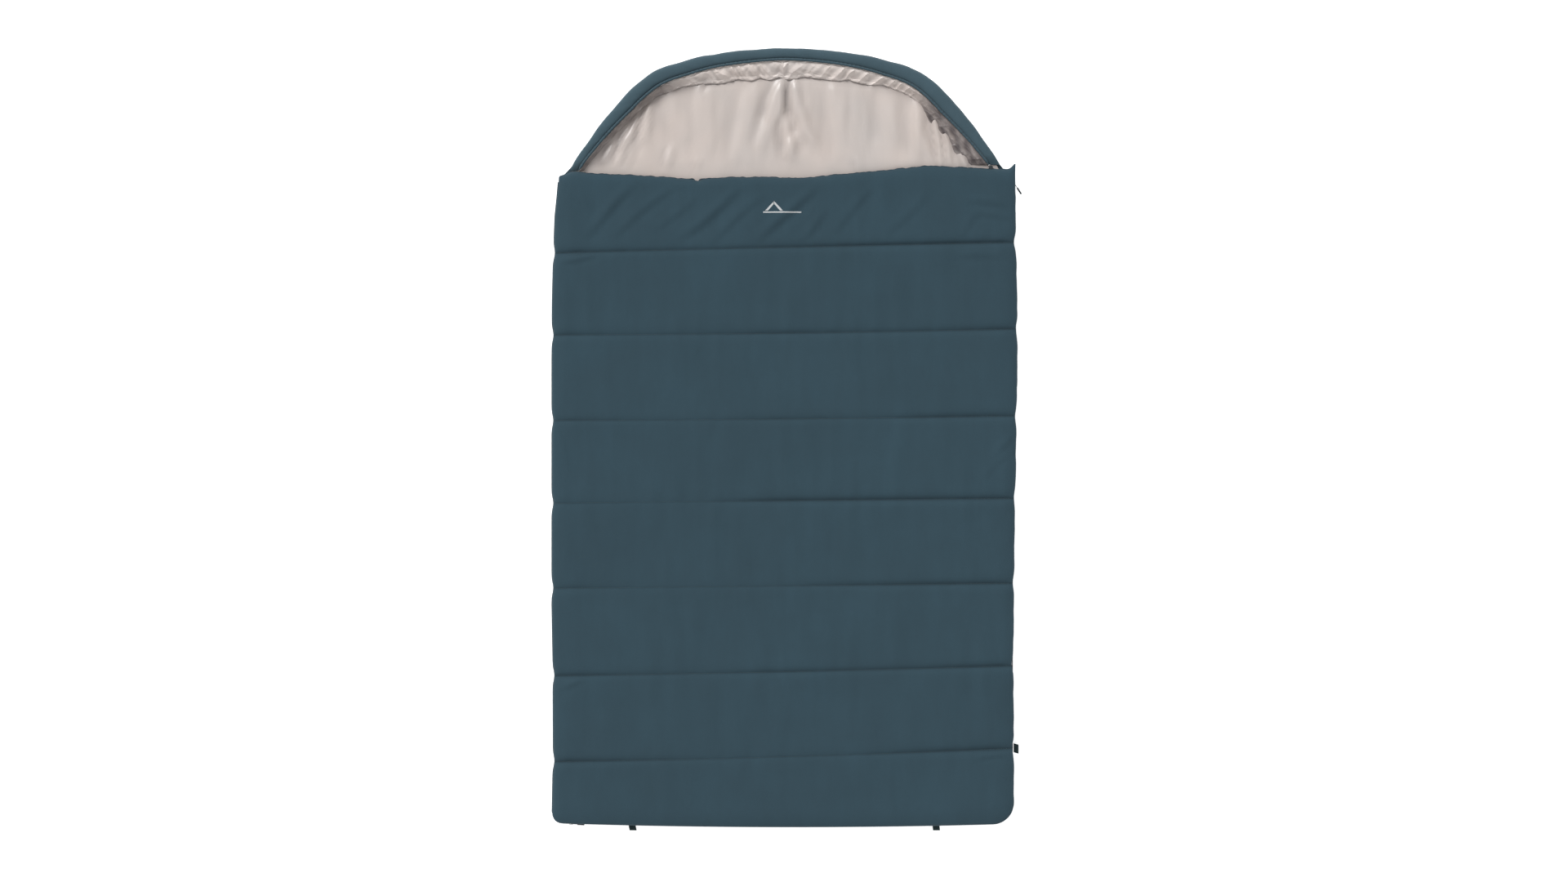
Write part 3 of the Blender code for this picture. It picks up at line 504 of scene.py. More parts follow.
# Painted light: the rim's satin roll and the draught tube get a lighter copy of the lining's sand satin.
SAND_PAINTED_LIGHTER = (0.715, 0.640, 0.600)
DARK = (0.020, 0.040, 0.045)
FINISH = {
    "quilt": brushed_cloth("brushed_teal_polyester", TEAL),
    "rim": brushed_cloth("brushed_teal_painted_lighter", TEAL_PAINTED_LIGHTER),
    "lining": satin_lining("sand_satin", SAND),
    "roll": satin_lining("sand_satin_painted_lighter", SAND_PAINTED_LIGHTER),
    "webbing": webbing("dark_webbing", DARK),
    "tape": webbing("zip_tape_twill", (0.024, 0.042, 0.050)),
    "coil": nylon("nylon_coil", (0.020, 0.034, 0.040)),
    "thread": nylon("polyester_thread", (0.030, 0.056, 0.068)),
    "pale_thread": nylon("sand_thread", (0.52, 0.46, 0.43)),
    "slider": plated("lacquered_slider", (0.050, 0.054, 0.058), 0.42),
    "steel": plated("bright_steel", (0.55, 0.56, 0.57), 0.30),
    "grip": moulded("soft_grip", (0.016, 0.024, 0.028), 0.62),
    "plastic": moulded("moulded_lock", (0.018, 0.026, 0.030), 0.45),
    "cord": braided("braided_cord", (0.030, 0.052, 0.062)),
    "print": screen_ink("grey_ink", (0.50, 0.52, 0.53)),
}


def dress(thing, finish, body, hides=()):
    """Gives a piece its finish, the body it moves with and the CAD parts it stands for."""
    thing.data.materials.clear()
    thing.data.materials.append(FINISH[finish])
    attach(thing, body)
    if hides:
        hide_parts(*hides)
    return thing


# ---------------------------------------------------------------- the quilts
def line_y(line, u):
    """A cross seam's height at u, from -1 at the left to 1 at the right: the parabola through
    its three heights."""
    left, middle, right = line
    return middle + (right - left) / 2 * u + ((left + right) / 2 - middle) * u ** 2


def steps_between(count, draw):
    """Places from 0 to 1, drawn closer together towards both ends."""
    s = np.linspace(-1, 1, count)
    return 0.5 + 0.5 * ((1 - draw) * s + draw * np.sin(math.pi / 2 * s))


def column_places(count):
    """Places across a quilt from -1 to 1: a few close to each edge and even ones between."""
    near = np.array([0.0, 0.0016, 0.0045, 0.009, 0.0155, 0.024, 0.034, 0.045]) / 0.695
    middle = np.linspace(near[-1], 2 - near[-1], count)[1:-1]
    return np.concatenate([near, middle, 2 - near[::-1]]) - 1


def quilt_plan(columns, rows, hooded, fine):
    """Places of a quilt's points seen from above, and what its height needs.

    Rows follow the cross seams and close up beside them. Each row is stretched between the
    side edges, which stray and are nipped in at every seam. Square foot corners are bent to
    quarter rounds. Past the mouth a hooded quilt's rows bow until the last is the crown."""
    u = column_places(columns)
    lines = [FOOT_LINE, *SEAM_LINES, MOUTH_LINE]
    if hooded:
        lines[-1] = (SHOULDER_Y,) * 3
    part = steps_between(rows, fine)
    y = []
    for low, high in zip(lines, lines[1:]):
        y += [line_y(low, u) + t * (line_y(high, u) - line_y(low, u)) for t in part[:-1]]
    y.append(line_y(lines[-1], u))
    y = np.array(y)
    seam = np.full(y.shape, 9.0)
    bite = np.ones(y.shape)
    places = np.linspace(-1, 1, len(SEAM_BITE[0]))
    for line, bites in zip(SEAM_LINES, SEAM_BITE):
        gap = np.abs(y - line_y(line, u))
        closer = gap < seam
        seam = np.where(closer, gap, seam)
        bite = np.where(closer, np.interp(u, places, bites)[None, :], bite)
    nip = np.exp(-(seam[:, :1] / 0.020) ** 2) ** 0.8
    tremble = 0.0011 * unevenness(y[:, :1], 0 * y[:, :1], 0.06, 5)
    left = LEFT_X + np.interp(y[:, :1], *zip(*LEFT_STRAY)) + 0.0052 * nip + np.abs(tremble)
    nip = np.exp(-(seam[:, -1:] / 0.020) ** 2) ** 0.8
    tremble = 0.0011 * unevenness(y[:, -1:], 0 * y[:, -1:], 0.07, 9)
    right = RIGHT_X - np.interp(y[:, -1:], *zip(*RIGHT_STRAY)) - 0.0048 * nip + tremble
    x = (left + right) / 2 + u * (right - left) / 2
    reach = [x - left, right - x, y - line_y(lines[0], u), line_y(lines[-1], u) - y]
    for corner, sign, edge in ((CORNER_LEFT, -1, left), (CORNER_RIGHT, 1, right)):
        a = np.clip((sign * (x - edge) + corner) / corner, 0, 1)
        b = np.clip((line_y(lines[0], u) + corner - y) / corner, 0, 1)
        inside = (a > 0) & (b > 0)
        x = np.where(inside, edge + sign * corner * (a * np.sqrt(1 - b ** 2 / 2) - 1), x)
        y = np.where(inside, line_y(lines[0], u) + corner * (1 - b * np.sqrt(1 - a ** 2 / 2)), y)
    if hooded:
        extra = np.linspace(0, 1, rows + 1)[1:, None]
        half = hood_outline(401)[:201]
        run = np.linspace(0, 1, 201)
        turn = int(np.argmin(np.abs(half[:, 0] - 0.416)))
        ends = np.stack([np.interp(extra[:, 0] * run[turn], run, half[:, k]) for k in (0, 1)], axis=1)
        crown = np.interp(np.abs(u) * 0.416, half[::-1, 0], half[::-1, 1])
        start = y[-1:]
        end_y = ends[:, 1:]
        end_x = ends[:, :1]
        hood_y = end_y + extra ** 1.3 * (crown - half[turn, 1])
        hood_y = hood_y + (1 - extra) ** 3 * (start - SHOULDER_Y)
        x = np.vstack([x, u * end_x])
        y = np.vstack([y, hood_y])
        seam = np.vstack([seam, np.full(hood_y.shape, 9.0)])
        bite = np.vstack([bite, np.ones(hood_y.shape)])
        depth = np.repeat(1 - extra, len(u), axis=1) * 0.30
        side = (1 - np.abs(u)) * end_x
        hood_reach = [side * (u < 0) + 9 * (u >= 0), side * (u >= 0) + 9 * (u < 0), 9 + 0 * depth, depth]
        reach[3] = reach[3] + 0.30
        reach = [np.vstack(pair) for pair in zip(reach, hood_reach)]
    return u, x, y, seam, bite, reach


def dome(distance, reach):
    """A quarter circle's rise: 0 at the edge and 1 from reach inwards."""
    return np.sqrt(np.clip(1 - (1 - np.clip(distance / reach, 0, 1)) ** 2, 0, 1))


CHANNEL_FOLDS = (
    (-0.610, 0.612, -0.455, 0.765, 0.013, 0.0030), (-0.520, 0.600, -0.335, 0.775, 0.012, 0.0022),
    (-0.330, 0.610, -0.130, 0.765, 0.014, 0.0032), (-0.400, 0.625, -0.270, 0.742, 0.010, 0.0016),
    (-0.235, 0.595, -0.060, 0.735, 0.011, 0.0020), (-0.085, 0.590, 0.080, 0.775, 0.014, 0.0034),
    (0.040, 0.600, 0.125, 0.700, 0.011, 0.0020), (0.130, 0.620, 0.270, 0.760, 0.012, 0.0018),
    (0.300, 0.610, 0.420, 0.745, 0.012, 0.0016), (0.520, 0.610, 0.590, 0.700, 0.010, 0.0014),
    (0.540, 0.720, 0.670, 0.700, 0.010, 0.0022), (0.560, 0.680, 0.675, 0.665, 0.009, 0.0016),
    (-0.640, 0.775, -0.590, 0.680, 0.010, 0.0014), (-0.680, 0.540, -0.560, 0.555, 0.009, 0.0018),
    (0.500, 0.560, 0.660, 0.545, 0.010, 0.0014), (0.620, -0.060, 0.680, 0.020, 0.009, 0.0022),
    (0.590, -0.120, 0.670, -0.030, 0.009, 0.0014), (0.560, -0.960, 0.660, -0.945, 0.008, 0.0014),
    (-0.680, -0.745, -0.610, -0.720, 0.008, 0.0018), (-0.660, -0.130, -0.672, 0.030, 0.009, 0.0012),
)


def quilt_height(x, y, seam, bite, reach, seed, folded):
    """Height of a quilt's face over its flat side.

    A quarter round rises from every outer edge to the crown. Each cross seam cuts a bell-shaped
    valley with a narrow slit in it. Faint ripples run from seam to seam, short puckers stand
    square to each seam, and the first channel has slanting folds."""
    left, right, foot, head = reach
    rise = dome(left, EDGE_ROUND) * dome(right, EDGE_ROUND) * dome(foot, EDGE_ROUND) * dome(head, 0.030)
    valley = bite * (0.0040 * np.exp(-(seam / 0.013) ** 2) + 0.0038 * np.exp(-(seam / 0.0042) ** 2))
    beside = np.exp(-seam / 0.045) * (1 - np.exp(-seam / 0.004))
    pucker = unevenness(x, 0.12 * y, 0.045, seed + 1) * beside
    ripple = unevenness(x, 0.18 * y, 0.085, seed + 2)
    slow = unevenness(x, y, 0.38, seed + 3)
    calm = dome(left, 0.10) * dome(right, 0.10)
    height = EDGE + (CROWN - EDGE - 0.0040) * rise - valley * rise
    height = height + rise * (0.0016 * pucker + 0.0010 * ripple + 0.0014 * slow * calm)
    if folded:
        height = height + rise * creases(x, y, CHANNEL_FOLDS) * 1.7
    return height


def recess_share(x, y):
    """How much of the zip's recess each edge point has: all along the right side and the foot,
    none on the left side and past the shoulder."""
    right = np.clip((x - 0.60) / 0.03, 0, 1) * np.clip((SHOULDER_Y - 0.004 - y) / 0.01, 0, 1)
    foot = np.clip((FOOT_Y + 0.028 - y) / 0.02, 0, 1) * np.clip((x - LEFT_X - 0.02) / 0.02, 0, 1)
    return np.maximum(right, foot)


def rim_loop(rows, columns):
    """Numbers of a grid's edge points, anticlockwise from its first."""
    first = np.arange(columns)
    right = np.arange(1, rows) * columns + columns - 1
    top = (rows - 1) * columns + np.arange(columns - 2, -1, -1)
    left = np.arange(rows - 2, 0, -1) * columns
    return np.concatenate([first, right, top, left])


def padded_form(name, x, y, height, side):
    """A closed quilt: the face's grid, rings that carry its edge round and down past the zip's
    recess, and a flat back. side is 1 for the upper quilt and -1 for the one below the seam
    plane. Returns the piece and how firmly each of its points is held."""
    rows, columns = x.shape
    loop = rim_loop(rows, columns)
    edge = np.stack([x.ravel()[loop], y.ravel()[loop]], axis=1)
    way = np.roll(edge, -1, axis=0) - np.roll(edge, 1, axis=0)
    way /= np.maximum(np.linalg.norm(way, axis=1), 1e-9)[:, None]
    inward = np.stack([-way[:, 1], way[:, 0]], axis=1)
    share = recess_share(edge[:, 0], edge[:, 1])[:, None]
    sheets = [np.stack([x.ravel(), y.ravel(), height.ravel()], axis=1)]
    for inset, recess, level in ((0.0, 0.0, 0.0118), (0.0006, 0.0002, 0.0103), (0.0008, 0.0045, 0.0095),
                                 (0.0010, 0.0082, 0.0088), (0.0012, 0.0086, 0.0020),
                                 (0.0016, 0.0086, UNDERSIDE)):
        ring = edge + inward * (inset + recess * share)
        sheets.append(np.column_stack([ring, np.full(len(ring), level)]))
    points = np.vstack(sheets)
    points[:, 2] = SEAM_Z + side * (QUILT_FACE + points[:, 2])
    faces = grid_faces(rows, columns)
    above, start, count = loop, rows * columns, len(loop)
    for ring in range(6):
        below = start + ring * count + np.arange(count)
        faces += np.stack([above, below, np.roll(below, -1), np.roll(above, -1)], axis=1).tolist()
        above = below
    corner = 2 * columns + rows - 3
    right = above[columns - 1:columns - 1 + rows]
    left = np.concatenate([above[:1], above[corner:][::-1]])
    head = above[columns + rows - 2:corner + 1][::-1]
    low_left, low_right = points[left[-BACK_ROWS]], points[right[-BACK_ROWS]]
    part = (points[head, 0] - points[head[0], 0]) / np.ptp(points[head, 0])
    row = len(points) + np.arange(len(head) - 2)
    points = np.vstack([points, low_left + (low_right - low_left) * part[1:-1, None]])
    row = np.concatenate([left[-BACK_ROWS:][:1], row, right[-BACK_ROWS:][:1]])
    faces += np.stack([row[:-1], head[:-1], head[1:], row[1:]], axis=1).tolist()
    faces.append(left[-BACK_ROWS:].tolist())
    faces.append(right[-BACK_ROWS:][::-1].tolist())
    faces.append([int(left[-BACK_ROWS - 1]), *row.tolist(), int(right[-BACK_ROWS - 1])])
    faces += np.stack([left[1:-BACK_ROWS - 1], left[2:-BACK_ROWS], right[2:-BACK_ROWS],
                       right[1:-BACK_ROWS - 1]], axis=1).tolist()
    faces.append([*left[:2].tolist(), int(right[1]), *above[columns - 1:0:-1].tolist()])
    if side < 0:
        faces = [face[::-1] for face in faces]
    thing = build(name, points, faces)
    held = np.zeros(len(points))
    held[rows * columns:] = 1.0
    held[loop] = 1.0
    return thing, held


# how far the mouth's edge strays from its parabola, from left to right
MOUTH_WAVE = ((-0.700, -0.006), (-0.672, -0.003), (-0.635, 0.007), (-0.598, 0.001), (-0.500, -0.003),
              (-0.410, -0.006), (-0.306, -0.014), (-0.250, -0.013), (-0.150, -0.009), (-0.062, -0.008),
              (0.032, -0.013), (0.126, -0.005), (0.220, 0.003), (0.314, 0.010), (0.417, 0.021),
              (0.500, 0.016), (0.568, 0.012), (0.643, 0.006), (0.668, 0.005), (0.700, -0.003))


NOTCH_X = -0.270


def notch_share(x, back):
    """1 in the mouth's pinched notch, dying away to both sides and back from the edge."""
    return np.exp(-((x - NOTCH_X) / 0.007) ** 2) * np.exp(-back / 0.012)


def mouth_stray(x, back):
    """How far a point moves towards the head at a distance back from the mouth: the waving
    edge, the pinched notch, the sloping left corner and the small ear at the right corner,
    each fading with distance."""
    wave = np.interp(x, *zip(*MOUTH_WAVE)) + 0.0016 * unevenness(x, 0 * x, 0.045, 31)
    slope = np.clip((-0.652 - x) / 0.035, 0, 1) ** 1.3 * np.clip(1 - back / 0.06, 0, 1)
    ear = np.clip((x - 0.664) / 0.024, 0, 1) ** 1.6 * np.clip(1 - back / 0.05, 0, 1)
    return wave * np.exp(-back / 0.045) - 0.013 * notch_share(x, back) - 0.008 * slope + 0.025 * ear


def make_upper_quilt():
    """The covering quilt: face, fill and back in one padded form."""
    count = 104
    _, x, y, seam, bite, reach = quilt_plan(count, 27, False, 0.62)
    height = quilt_height(x, y, seam, bite, reach, 11, True)
    y = y + mouth_stray(x, reach[3])
    height = height - 0.006 * notch_share(x, reach[3]) * (reach[3] > 0.001)
    thing, held = padded_form("upper_quilt", x, y, height, 1)
    rows, columns = x.shape
    held[:rows * columns] = np.maximum(held[:rows * columns], (seam.ravel() < 0.002) * 1.0)
    blow_up(thing, held, 1.8, 0.030, 0.0040)
    # Painted shade: the cloth goes darker in each seam's valley, as deep as the seam bites, and over the
    # quilt's side walls and back.
    marks = np.zeros(len(thing.data.vertices))
    marks[:rows * columns] = (np.clip(1 - seam / 0.005, 0, 1) * np.clip(bite, 0, 1.2) * 0.62).ravel()
    marks[rows * columns:] = 0.5
    attribute(thing, "seam", marks)
    refine(thing)
    return dress(thing, "quilt", "upper_panel", ("upper_shell", "upper_insulation"))


def make_base_quilt():
    """The quilt that lies on the ground and runs on under the hood, puffed downwards."""
    count = 78
    _, x, y, seam, bite, reach = quilt_plan(count, 19, True, 0.55)
    height = quilt_height(x, y, seam, bite, reach, 23, False)
    thing, held = padded_form("base_quilt", x, y, np.minimum(height, CROWN), -1)
    rows, columns = x.shape
    held[:rows * columns] = np.maximum(held[:rows * columns], (seam.ravel() < 0.002) * 1.0)
    blow_up(thing, held, 1.6, 0.018, 0.0035)
    points = points_of(thing)
    points[:, 2] = np.maximum(points[:, 2], 0.0003)
    set_points(thing, points)
    # Painted shade: the cloth goes darker in each seam's valley and over the quilt's side walls and
    # underside.
    marks = np.zeros(len(thing.data.vertices))
    marks[:rows * columns] = (np.clip(1 - seam / 0.005, 0, 1) * 0.6).ravel()
    marks[rows * columns:] = 0.5
    attribute(thing, "seam", marks)
    refine(thing)
    return dress(thing, "quilt", "base", ("base_shell", "base_insulation"))


upper_quilt = make_upper_quilt()
make_base_quilt()


# ---------------------------------------------------------------- linings
LINING_FOLDS = (
    (0.010, 1.085, 0.000, 0.985, 0.011, -0.0070), (0.022, 1.080, 0.042, 0.960, 0.016, 0.0060),
    (-0.010, 1.080, -0.050, 0.950, 0.018, 0.0050), (0.030, 1.010, 0.085, 0.880, 0.020, 0.0040),
    (-0.030, 1.000, -0.075, 0.860, 0.022, 0.0034), (0.005, 0.980, 0.020, 0.830, 0.016, 0.0040),
    (0.060, 0.940, -0.010, 0.850, 0.016, 0.0028), (-0.120, 1.060, -0.135, 0.830, 0.030, 0.0026),
    (0.150, 1.070, 0.165, 0.830, 0.030, 0.0024), (0.452, 1.010, 0.458, 0.815, 0.010, 0.0062),
    (0.475, 1.000, 0.482, 0.815, 0.009, 0.0060), (0.405, 1.040, 0.395, 0.850, 0.022, 0.0030),
    (0.300, 1.060, 0.330, 0.900, 0.030, 0.0022), (0.510, 0.960, 0.535, 0.820, 0.010, 0.0052),
    (0.490, 0.990, 0.560, 0.830, 0.009, 0.0048), (-0.410, 1.050, -0.418, 0.880, 0.014, 0.0036),
    (-0.480, 0.960, -0.500, 0.820, 0.012, 0.0046), (-0.520, 0.940, -0.545, 0.815, 0.010, 0.0052),
    (-0.455, 1.000, -0.465, 0.850, 0.010, 0.0030), (-0.570, 0.880, -0.590, 0.815, 0.008, 0.0040),
    (-0.360, 1.060, -0.300, 0.900, 0.026, 0.0022), (-0.250, 1.070, -0.235, 0.850, 0.036, 0.0020),
    (-0.345, 0.880, -0.360, 0.810, 0.010, 0.0024), (-0.270, 0.840, -0.262, 0.806, 0.007, 0.0030),
    (0.560, 0.900, 0.598, 0.830, 0.008, 0.0040), (0.210, 0.850, 0.220, 0.806, 0.010, 0.0020),
)


def rim_depth(x, y):
    """About how far a point of the hood lies in from the outline, square to it."""
    outline = hood_outline(401)[:201]
    edge_y = np.interp(np.abs(x).ravel(), outline[::-1, 0], outline[::-1, 1]).reshape(x.shape)
    step = np.gradient(x, axis=1)
    rise = np.gradient(edge_y, axis=1) / np.where(np.abs(step) < 1e-6, 1, step)
    return (edge_y - y) / np.sqrt(1 + np.clip(rise, -3, 3) ** 2)


def lining_relief(x, y, seam, seed, hooded):
    """Height of a quilt's satin side over its flat: soft cushions between the cross seams,
    puckers square to them, and in the hood long folds that hang from the rim's seam."""
    cushion = 0.0016 * (1 - np.exp(-(seam / 0.020) ** 2))
    pucker = 0.0007 * unevenness(x, 0.15 * y, 0.040, seed) * np.exp(-seam / 0.05)
    flow = 0.0007 * unevenness(x, 0.35 * y, 0.15, seed + 1)
    relief = cushion + pucker + flow
    if hooded:
        inside = np.clip((y - MOUTH_Y - 0.004) / 0.03, 0, 1)
        drape = 2.9 * creases(x, y, LINING_FOLDS) + 0.0026 * unevenness(x, 0.3 * y, 0.10, seed + 2)
        corner = np.clip((np.abs(x) - 0.36) / 0.15, 0, 1) * np.clip((1.06 - y) / 0.12, 0.15, 1)
        crumple = 0.0050 * corner * unevenness(x + 0.5 * y * np.sign(x), 0.25 * y, 0.050, seed + 3)
        clear = np.clip((rim_depth(x, y) - 0.066 - 0.020 * (np.abs(x) < 0.25)) / 0.022, 0.06, 1)
        relief = relief + inside * clear * np.clip(drape + crumple + 0.0060, 0, 0.016)
    return relief


def make_base_lining():
    """The satin face of the lower quilt and of the hood."""
    count = 110
    _, x, y, seam, _, reach = quilt_plan(count, 26, True, 0.5)
    middle_x = (LEFT_X + RIGHT_X) / 2
    x = middle_x + (x - middle_x) * (1 - 0.0125 / 0.697)
    y = y + np.clip((FOOT_Y + 0.30 - y) / 0.30, 0, 1) * 0.013 - np.clip((y - 0.90) / 0.28, 0, 1) * 0.008
    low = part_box("base_lining")[0].z + 0.0001
    z = low + np.maximum(lining_relief(x, y, seam, 41, True), 0.0002) * np.clip(reach[0] / 0.02, 0, 1) \
        * np.clip(reach[1] / 0.02, 0, 1)
    rows, columns = x.shape
    points = np.stack([x, y, z], axis=-1).reshape(-1, 3)
    thing = build("base_lining_satin", points, grid_faces(rows, columns))
    # Painted shade: darker along the cross seams, under the edge of the rim's roll and in the valleys of the
    # hood's folds.
    hood = np.clip((y - MOUTH_Y - 0.005) / 0.02, 0, 1)
    roll_shadow = np.exp(-np.clip(rim_depth(x, y) - 0.084, 0, 1) / 0.012) * hood
    tucks = np.clip(-creases(x, y, LINING_FOLDS) / 0.0055, 0, 1) * hood
    drawn = np.clip(0.34 * roll_shadow + 0.42 * tucks, 0, 0.6)
    attribute(thing, "seam", np.clip(1 - seam / 0.004, 0, 1) * 0.3 + drawn)
    wall = thing.modifiers.new("wall", "SOLIDIFY")
    wall.thickness = 0.0004
    wall.offset = 1
    apply_modifiers(thing)
    dress(thing, "lining", "base", ("base_lining",))
    return thing


def make_upper_lining():
    """The satin side of the covering quilt, seen when it is laid open."""
    count = 100
    _, x, y, seam, _, reach = quilt_plan(count, 22, False, 0.5)
    middle_x = (LEFT_X + RIGHT_X) / 2
    x = middle_x - 0.0030 + (x - middle_x) * (1 - 0.0095 / 0.697)
    y = y + np.clip((FOOT_Y + 0.30 - y) / 0.30, 0, 1) * 0.013 - np.clip((y - 0.6) / 0.2, 0, 1) * 0.002
    y = y + mouth_stray(x, reach[3]) * (x < 0.66)
    relief = lining_relief(x, y, seam, 57, False)
    edge = np.clip(reach[0] / 0.02, 0, 1) * np.clip(reach[1] / 0.02, 0, 1)
    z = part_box("upper_lining")[1].z - 0.0001 - np.clip(relief, 0.0002, 0.0045) * edge
    rows, columns = x.shape
    faces = [face[::-1] for face in grid_faces(rows, columns)]
    thing = build("upper_lining_satin", np.stack([x, y, z], axis=-1).reshape(-1, 3), faces)
    # Painted shade: darker along the cross seams.
    attribute(thing, "seam", np.clip(1 - seam / 0.004, 0, 1) * 0.35)
    wall = thing.modifiers.new("wall", "SOLIDIFY")
    wall.thickness = 0.0004
    wall.offset = 1
    apply_modifiers(thing)
    dress(thing, "lining", "upper_panel", ("upper_lining",))
    return thing


make_base_lining()
make_upper_lining()


# ---------------------------------------------------------------- the hood's rim
# how wide the band is along the rim, from its right end to its left
BAND_WIDTH = ((0.000, 0.036), (0.050, 0.040), (0.100, 0.046), (0.150, 0.050), (0.220, 0.050),
              (0.300, 0.046), (0.400, 0.039), (0.500, 0.036), (0.620, 0.040), (0.700, 0.045),
              (0.780, 0.047), (0.830, 0.045), (0.880, 0.040), (0.930, 0.034), (1.000, 0.028))
# the band's section: share of its width in from the edge, and share of its height
BAND_PROFILE = ((0.0, 0.06), (0.0, 0.34), (0.03, 0.58), (0.09, 0.78), (0.18, 0.92), (0.30, 1.0),
                (0.45, 1.04), (0.60, 1.03), (0.74, 0.99), (0.86, 0.92), (0.95, 0.84), (1.0, 0.74),
                (1.0, 0.06), (0.80, 0.0), (0.40, 0.0))
RIM_START, RIM_STOP = 0.026, 0.006
RIM_END_TURN = 0.16
RIM_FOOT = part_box("hood_rim_lining")[0].z


def rim_path(count):
    """Points along the hood's outline from right to left, the level way in at each, and how
    far along it is. Near both ends the way in swings round to lie across the bag."""
    line = hood_outline(801)
    run = np.concatenate([[0], np.cumsum(np.linalg.norm(np.diff(line, axis=0), axis=1))])
    along = np.linspace(RIM_START, run[-1] - RIM_STOP, count)
    spot = [np.stack([np.interp(along + off, run, line[:, k]) for k in (0, 1)], axis=1)
            for off in (-0.02, 0.0, 0.02)]
    way = spot[2] - spot[0]
    way /= np.linalg.norm(way, axis=1)[:, None]
    inward = np.stack([-way[:, 1], way[:, 0]], axis=1)
    part = np.linspace(0, 1, count)
    level = np.clip(1 - np.minimum(part, 1 - part) / RIM_END_TURN, 0, 1)[:, None]
    sideways = np.stack([np.sign(part - 0.5), np.zeros(count)], axis=1)
    inward = inward * (1 - level) + sideways * level
    inward /= np.linalg.norm(inward, axis=1)[:, None]
    return spot[1], inward, part, along


def rim_size(part):
    """The rim's width and height, widest over the head and low at the mouth."""
    swell = np.sin(math.pi * part)
    return 0.058 + 0.036 * swell, 0.0145 + 0.0175 * np.minimum(1, 1.8 * swell)


def band_width(part):
    """The band's width there."""
    return np.interp(part, *zip(*BAND_WIDTH))


def rim_height(distance, width, height):
    """Height of the rim's dome at a distance in from its outer edge: a flattened half round."""
    share = np.clip(distance / width, 0, 1)
    return height * np.clip(1 - (2 * share - 1) ** 2, 0, 1) ** 0.4


def make_rim_band():
    """The teal outer band: a padded strip with a round outer edge, dipping to the drawcord
    channel. A loop of points is carried along the rim and drawn in at both ends."""
    count = 300
    spot, inward, part, along = rim_path(count)
    width, height = rim_size(part)
    share, lift = np.array(BAND_PROFILE).T
    reach = (band_width(part) - 0.0022)[:, None] * share
    inner = rim_height(band_width(part), width, height)
    level = lift * (0.35 * height[:, None] + 0.65 * inner[:, None]) * 0.93
    bump = unevenness(along[:, None] + 0 * reach, 0.8 * reach, 0.12, 71)
    drawn = unevenness(along[:, None] + 1.5 * reach, 0 * reach, 0.030, 72)
    level = level + (lift > 0.3) * (0.0009 * bump + 0.0005 * drawn)
    tip = np.clip(np.minimum(part, 1 - part) / 0.02, 0.12, 1)[:, None]
    level = level * tip ** 0.6
    stray = 0.0012 * unevenness(along, 0 * along, 0.09, 73)[:, None]
    flat = spot[:, None] + inward[:, None] * (reach + stray * (1 - share) + 0.0008)[..., None]
    points = np.concatenate([flat, (RIM_FOOT + level)[..., None]], axis=-1)
    sides = len(share)
    faces = grid_faces(count, sides, around=True)
    faces = [face[::-1] for face in faces]
    faces += [list(range(sides)), list(range((count - 1) * sides, count * sides))[::-1]]
    thing = build("hood_rim_band", points.reshape(-1, 3), faces)
    # Painted shade: darker along the band's inner edge beside the drawcord channel and on its underside.
    marks = np.tile((share > 0.93) * 0.6 + (lift < 0.2) * 0.4, count)
    attribute(thing, "seam", np.clip(marks, 0, 0.7))
    refine(thing)
    return dress(thing, "rim", "base", ("hood_rim_shell", "hood_rim_padding"))


def channel_path(count):
    """Points along the middle of the drawcord's channel, how far along the rim each is and
    what share of it."""
    spot, inward, part, along = rim_path(count)
    band = band_width(part)
    z = RIM_FOOT + rim_height(band, *rim_size(part)) + 0.0012
    return np.column_stack([spot + inward * band[:, None], z]), along, part


def make_drawcord_channel():
    """The narrow sleeve along the band's inner edge: a tube whose radius swells and pinches
    where the cloth is gathered on its cord."""
    count = 620
    path, along, part = channel_path(count)
    gather = unevenness(along, 0 * along, 0.011, 81, 2)
    radius = 0.0039 + 0.00045 * gather
    radius *= np.clip(np.minimum(part, 1 - part) / 0.008, 0.4, 1)
    thing = carried("drawcord_channel_gathered", path, round_profile(radius, 12), path_sides(path))
    # Painted shade: darker where the sleeve pinches in.
    attribute(thing, "seam", np.repeat(np.clip(0.15 - 0.3 * gather, 0, 0.4), 12))
    return dress(thing, "rim", "base", ("drawcord_channel",))


def make_drawcord():
    """The braided cord: it lies in its channel all round the hood and comes out at the right
    end, through its eyelet and lock."""
    path = channel_path(400)[0]
    way = path[0] - path[4]
    way[2] = 0
    way /= np.linalg.norm(way)
    tail = path[0] + np.linspace(0.0205, 0.0012, 14)[:, None] * way
    path = np.vstack([tail, path[:-2]])
    radius = np.full(len(path), 0.0014)
    radius[[0, -1]] = 0.0009
    thing = carried("drawcord_braided", path, round_profile(radius, 10), path_sides(path))
    return dress(thing, "cord", "base", ("drawcord",))


# how wide the satin roll is along the rim, from its right end to its left
ROLL_SPAN = ((0.00, 0.066), (0.05, 0.070), (0.10, 0.060), (0.16, 0.043), (0.22, 0.031), (0.28, 0.034),
             (0.36, 0.047), (0.50, 0.060), (0.62, 0.052), (0.70, 0.037), (0.78, 0.022), (0.88, 0.021),
             (1.00, 0.018))


